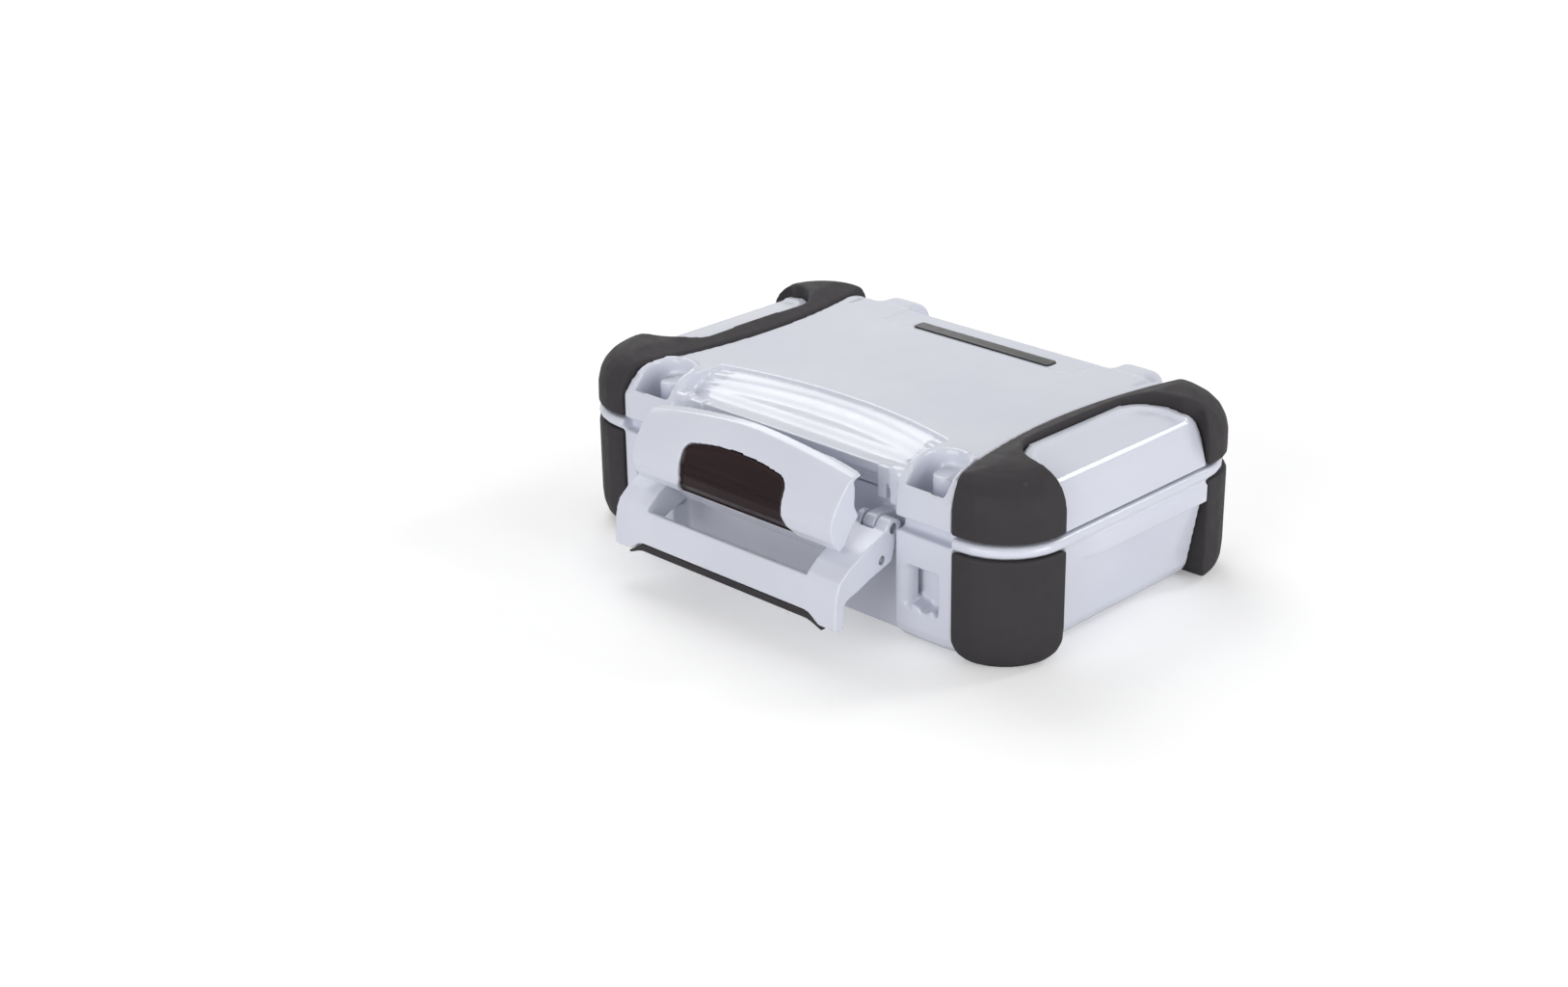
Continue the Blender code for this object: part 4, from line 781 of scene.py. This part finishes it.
def make_grips():
    grain = settings("case_mouldings").latch_grain
    grip = rounded("finger_grip", "finger_grip_rubber", grain, GRIP_PASSES, GRIP_TRIANGLES)
    finish_piece(grip, bumper_rubber(), "lever", "corner_rubber", "finger_grip")
    thumb = rounded(
        "thumb_pad", "thumb_pad_gloss", grain, GRIP_PASSES, THUMB_TRIANGLES, sink_thumb_pad
    )
    finish_piece(thumb, thumb_gloss(), "claw", "thumb_gloss", "thumb_pad")


def make_pin(node, body):
    """A plain pin with rounded ends, along the case's width."""
    low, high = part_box(node)
    radius = (high.z - low.z) / 2
    bm = bmesh.new()
    bmesh.ops.create_cone(
        bm, cap_ends=True, segments=PIN_SIDES, radius1=radius, radius2=radius,
        depth=high.x - low.x,
        matrix=Matrix.Translation((low + high) / 2) @ Matrix.Rotation(math.pi / 2, 4, "Y"),
    )
    ends = [
        edge for edge in bm.edges if abs(edge.verts[0].co.x - edge.verts[1].co.x) < MERGE_DISTANCE
    ]
    width = min(settings("case_mouldings").pin_edge, radius / PIN_EDGE_PARTS)
    round_edges(bm, ends, width, EDGE_STEPS)
    pin = smooth_all(object_from(bm, f"{node}_steel"))
    pin.data.set_sharp_from_angle(angle=math.radians(PIN_SHARP_ANGLE))
    finish_piece(pin, pin_steel(), body, "pin_steel", node)


def make_pins():
    for side in ("left", "right"):
        make_pin(f"hinge_pin_{side}", "base")
        make_pin(f"latch_hinge_pin_{side}", "base")
    make_pin("claw_pin", "lever")


def make_label():
    """The bare dark plate let into the lid."""
    sizes = settings("case_mouldings")
    low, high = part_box("label_plate")
    half = (high.z - low.z) / 2
    bm = bmesh.new()
    bmesh.ops.create_cube(bm, size=1, matrix=box_matrix(low, high))
    upright = [edge for edge in bm.edges if abs(edge.verts[0].co.z - edge.verts[1].co.z) > half]
    round_edges(bm, upright, sizes.plate_corner, CORNER_STEPS)
    top = high.z - MERGE_DISTANCE
    rim = [edge for edge in bm.edges if min(vert.co.z for vert in edge.verts) > top]
    round_edges(bm, rim, sizes.plate_edge, EDGE_STEPS)
    plate = smooth_all(object_from(bm, "label_plate_dark"))
    plate.data.set_sharp_from_angle(angle=math.radians(PLATE_SHARP_ANGLE))
    finish_piece(plate, label_dark(), "lid", "label_dark", "label_plate")


def make_linings():
    sizes = settings("case_mouldings")
    tones = settings("case_finishes")
    liner = rounded("base_liner", "base_lining", sizes.shell_grain, LINER_PASSES, LINER_TRIANGLES)
    soft = lining_rubber(
        "lining_soft_rubber", tones.liner, grain_scale=1600, grain_strength=0.3, middle=0.72
    )
    finish_piece(liner, soft, "base", "liner_rubber", "base_liner")
    seal = rounded("lid_seal", "lid_seal_ring", sizes.latch_grain, SEAL_PASSES, SEAL_TRIANGLES)
    firm = lining_rubber(
        "seal_soft_rubber", tones.seal, grain_scale=2600, grain_strength=0.15, middle=0.5
    )
    finish_piece(seal, firm, "lid", "seal_rubber", "lid_seal")
    pad = rounded("lid_pad", "lid_pad_foam", sizes.shell_grain, PAD_PASSES, PAD_TRIANGLES)
    finish_piece(pad, pad_foam(), "lid", "pad_foam", "lid_pad")


# Stage


def camera_axes():
    """The camera's right, up and backward directions."""
    azimuth, elevation = math.radians(CAMERA_AZIMUTH), math.radians(CAMERA_ELEVATION)
    flat = math.cos(elevation)
    back = Vector((math.sin(azimuth) * flat, -math.cos(azimuth) * flat, math.sin(elevation)))
    level = Vector((math.cos(azimuth), math.sin(azimuth), 0))
    rise = back.cross(level)
    roll = math.radians(CAMERA_ROLL)
    right = level * math.cos(roll) + rise * math.sin(roll)
    return right, rise * math.cos(roll) - level * math.sin(roll), back


def make_camera():
    data = bpy.data.cameras.new("camera")
    data.sensor_width = SENSOR_WIDTH
    data.sensor_fit = "HORIZONTAL"
    data.lens = CAMERA_FOCAL_PIXELS / IMAGE_WIDTH * SENSOR_WIDTH
    data.shift_x = 0.5 - CAMERA_CENTRE_X / IMAGE_WIDTH
    data.shift_y = (CAMERA_CENTRE_Y - IMAGE_HEIGHT / 2) / IMAGE_WIDTH
    data.clip_start, data.clip_end = CAMERA_CLIP_START, CAMERA_CLIP_END
    camera = link(bpy.data.objects.new("camera", data))
    right, up, back = camera_axes()
    eye = back * CAMERA_DISTANCE + right * CAMERA_SIDEWAYS + up * CAMERA_UPWARDS
    turn = Matrix((right, up, back)).transposed().to_4x4()
    camera.matrix_world = Matrix.Translation(eye) @ turn
    bpy.context.scene.camera = camera


def make_lamp(name, watts, width, spot):
    data = bpy.data.lights.new(name, "AREA")
    data.shape = "SQUARE"
    data.size = width
    data.energy = watts
    lamp = link(bpy.data.objects.new(name, data))
    lamp.location = spot
    away = Vector(spot) - Vector(LAMP_TARGET)
    lamp.rotation_euler = away.to_track_quat("Z", "Y").to_euler()


def make_floor():
    """A white floor that shows the case's soft shadow, with painted shade from a camera-only glow
    that is weaker near the case.
    """
    bm = bmesh.new()
    half = settings("case_stage").floor_size / 2
    bmesh.ops.create_grid(bm, x_segments=1, y_segments=1, size=half)
    floor = object_from(bm, "floor")
    material = bpy.data.materials.new("floor_white")
    material.use_nodes = True
    nodes, links = material.node_tree.nodes, material.node_tree.links
    shader = nodes["Principled BSDF"]
    shader.inputs["Base Color"].default_value = (*FLOOR_WHITE, 1)
    shader.inputs["Roughness"].default_value = 0.9
    shader.inputs["Specular IOR Level"].default_value = 0.1
    glow = nodes.new("ShaderNodeEmission")
    reach = add(nodes, "ShaderNodeVectorMath", operation="LENGTH")
    links.new(place(nodes), reach.inputs[0])
    # Painted shade: the glow is weaker near the case, so the floor there is darker than far off.
    strength = spread(nodes, links, reach.outputs["Value"], *GLOW_STRENGTHS_WITH_PAINTED_SHADE, *GLOW_DISTANCES)
    links.new(strength, glow.inputs["Strength"])
    rays = nodes.new("ShaderNodeLightPath")
    seen = nodes.new("ShaderNodeMixShader")
    both = nodes.new("ShaderNodeAddShader")
    links.new(shader.outputs[0], both.inputs[0])
    links.new(glow.outputs[0], both.inputs[1])
    links.new(rays.outputs["Is Camera Ray"], seen.inputs[0])
    links.new(shader.outputs[0], seen.inputs[1])
    links.new(both.outputs[0], seen.inputs[2])
    links.new(seen.outputs[0], nodes["Material Output"].inputs["Surface"])
    floor.data.materials.append(material)


def make_world():
    """Even white light, seen as plain white by the camera and in reflections."""
    world = bpy.context.scene.world or bpy.data.worlds.new("studio")
    bpy.context.scene.world = world
    world.use_nodes = True
    nodes, links = world.node_tree.nodes, world.node_tree.links
    background = nodes["Background"]
    background.inputs["Color"].default_value = (1, 1, 1, 1)
    background.inputs["Strength"].default_value = settings("case_stage").sky
    white = nodes.new("ShaderNodeBackground")
    white.inputs["Color"].default_value = (1, 1, 1, 1)
    white.inputs["Strength"].default_value = 1.0
    rays = nodes.new("ShaderNodeLightPath")
    mix = nodes.new("ShaderNodeMixShader")
    shown = rays.outputs["Is Camera Ray"]
    for kind in ("Is Glossy Ray", "Is Transmission Ray"):
        either = add(nodes, "ShaderNodeMath", operation="MAXIMUM")
        links.new(shown, either.inputs[0])
        links.new(rays.outputs[kind], either.inputs[1])
        shown = either.outputs[0]
    links.new(shown, mix.inputs[0])
    links.new(background.outputs[0], mix.inputs[1])
    links.new(white.outputs[0], mix.inputs[2])
    links.new(mix.outputs[0], nodes["World Output"].inputs["Surface"])


def make_stage():
    stage = settings("case_stage")
    make_camera()
    make_floor()
    make_world()
    for name, watts, width, spot in LAMPS:
        make_lamp(name, getattr(stage, watts), width, spot)
    bpy.context.scene.view_settings.view_transform = "Standard"


class CASE_OT_base(bpy.types.Operator):
    """Make the base moulding"""

    bl_idname = "hard_case.base"
    bl_label = "Base"

    def execute(self, context):
        make_base()
        return {"FINISHED"}


class CASE_OT_lid(bpy.types.Operator):
    """Make the lid moulding"""

    bl_idname = "hard_case.lid"
    bl_label = "Lid"

    def execute(self, context):
        make_lid()
        return {"FINISHED"}


class CASE_OT_bumpers(bpy.types.Operator):
    """Make the four base bumpers and the two lid bumpers"""

    bl_idname = "hard_case.bumpers"
    bl_label = "Bumpers"

    def execute(self, context):
        make_bumpers()
        return {"FINISHED"}


class CASE_OT_latch(bpy.types.Operator):
    """Make the latch lever and its claw"""

    bl_idname = "hard_case.latch"
    bl_label = "Latch"

    def execute(self, context):
        make_latch()
        return {"FINISHED"}


class CASE_OT_grips(bpy.types.Operator):
    """Make the finger grip and the thumb pad"""

    bl_idname = "hard_case.grips"
    bl_label = "Grips"

    def execute(self, context):
        make_grips()
        return {"FINISHED"}


class CASE_OT_pins(bpy.types.Operator):
    """Make the hinge and latch pins"""

    bl_idname = "hard_case.pins"
    bl_label = "Pins"

    def execute(self, context):
        make_pins()
        return {"FINISHED"}


class CASE_OT_label(bpy.types.Operator):
    """Make the label plate"""

    bl_idname = "hard_case.label"
    bl_label = "Label plate"

    def execute(self, context):
        make_label()
        return {"FINISHED"}


class CASE_OT_linings(bpy.types.Operator):
    """Make the base lining, the seal and the foam pad"""

    bl_idname = "hard_case.linings"
    bl_label = "Linings and seal"

    def execute(self, context):
        make_linings()
        return {"FINISHED"}


class CASE_OT_stage(bpy.types.Operator):
    """Make the floor, lamps and camera"""

    bl_idname = "hard_case.stage"
    bl_label = "Stage"

    def execute(self, context):
        make_stage()
        return {"FINISHED"}


OPERATORS = (
    CASE_OT_base,
    CASE_OT_lid,
    CASE_OT_bumpers,
    CASE_OT_latch,
    CASE_OT_grips,
    CASE_OT_pins,
    CASE_OT_label,
    CASE_OT_linings,
    CASE_OT_stage,
)
GROUPS = {
    "case_finishes": CASE_PG_finishes,
    "case_mouldings": CASE_PG_mouldings,
    "case_stage": CASE_PG_stage,
}


class CASE_PT_panel(bpy.types.Panel):
    """Lists the case's pieces"""

    bl_label = "Hard case"
    bl_idname = "CASE_PT_panel"
    bl_space_type = "VIEW_3D"
    bl_region_type = "UI"
    bl_category = "Hard case"

    def draw(self, context):
        for operator in OPERATORS:
            self.layout.operator(operator.bl_idname)


def register():
    for group, kind in GROUPS.items():
        bpy.utils.register_class(kind)
        setattr(bpy.types.Scene, group, PointerProperty(type=kind))
    for operator in OPERATORS:
        bpy.utils.register_class(operator)
    bpy.utils.register_class(CASE_PT_panel)


def unregister():
    bpy.utils.unregister_class(CASE_PT_panel)
    for operator in reversed(OPERATORS):
        bpy.utils.unregister_class(operator)
    for group, kind in GROUPS.items():
        delattr(bpy.types.Scene, group)
        bpy.utils.unregister_class(kind)


def main():
    register()
    for operator in OPERATORS:
        family, action = operator.bl_idname.split(".")
        getattr(getattr(bpy.ops, family), action)()


if __name__ == "__main__":
    main()
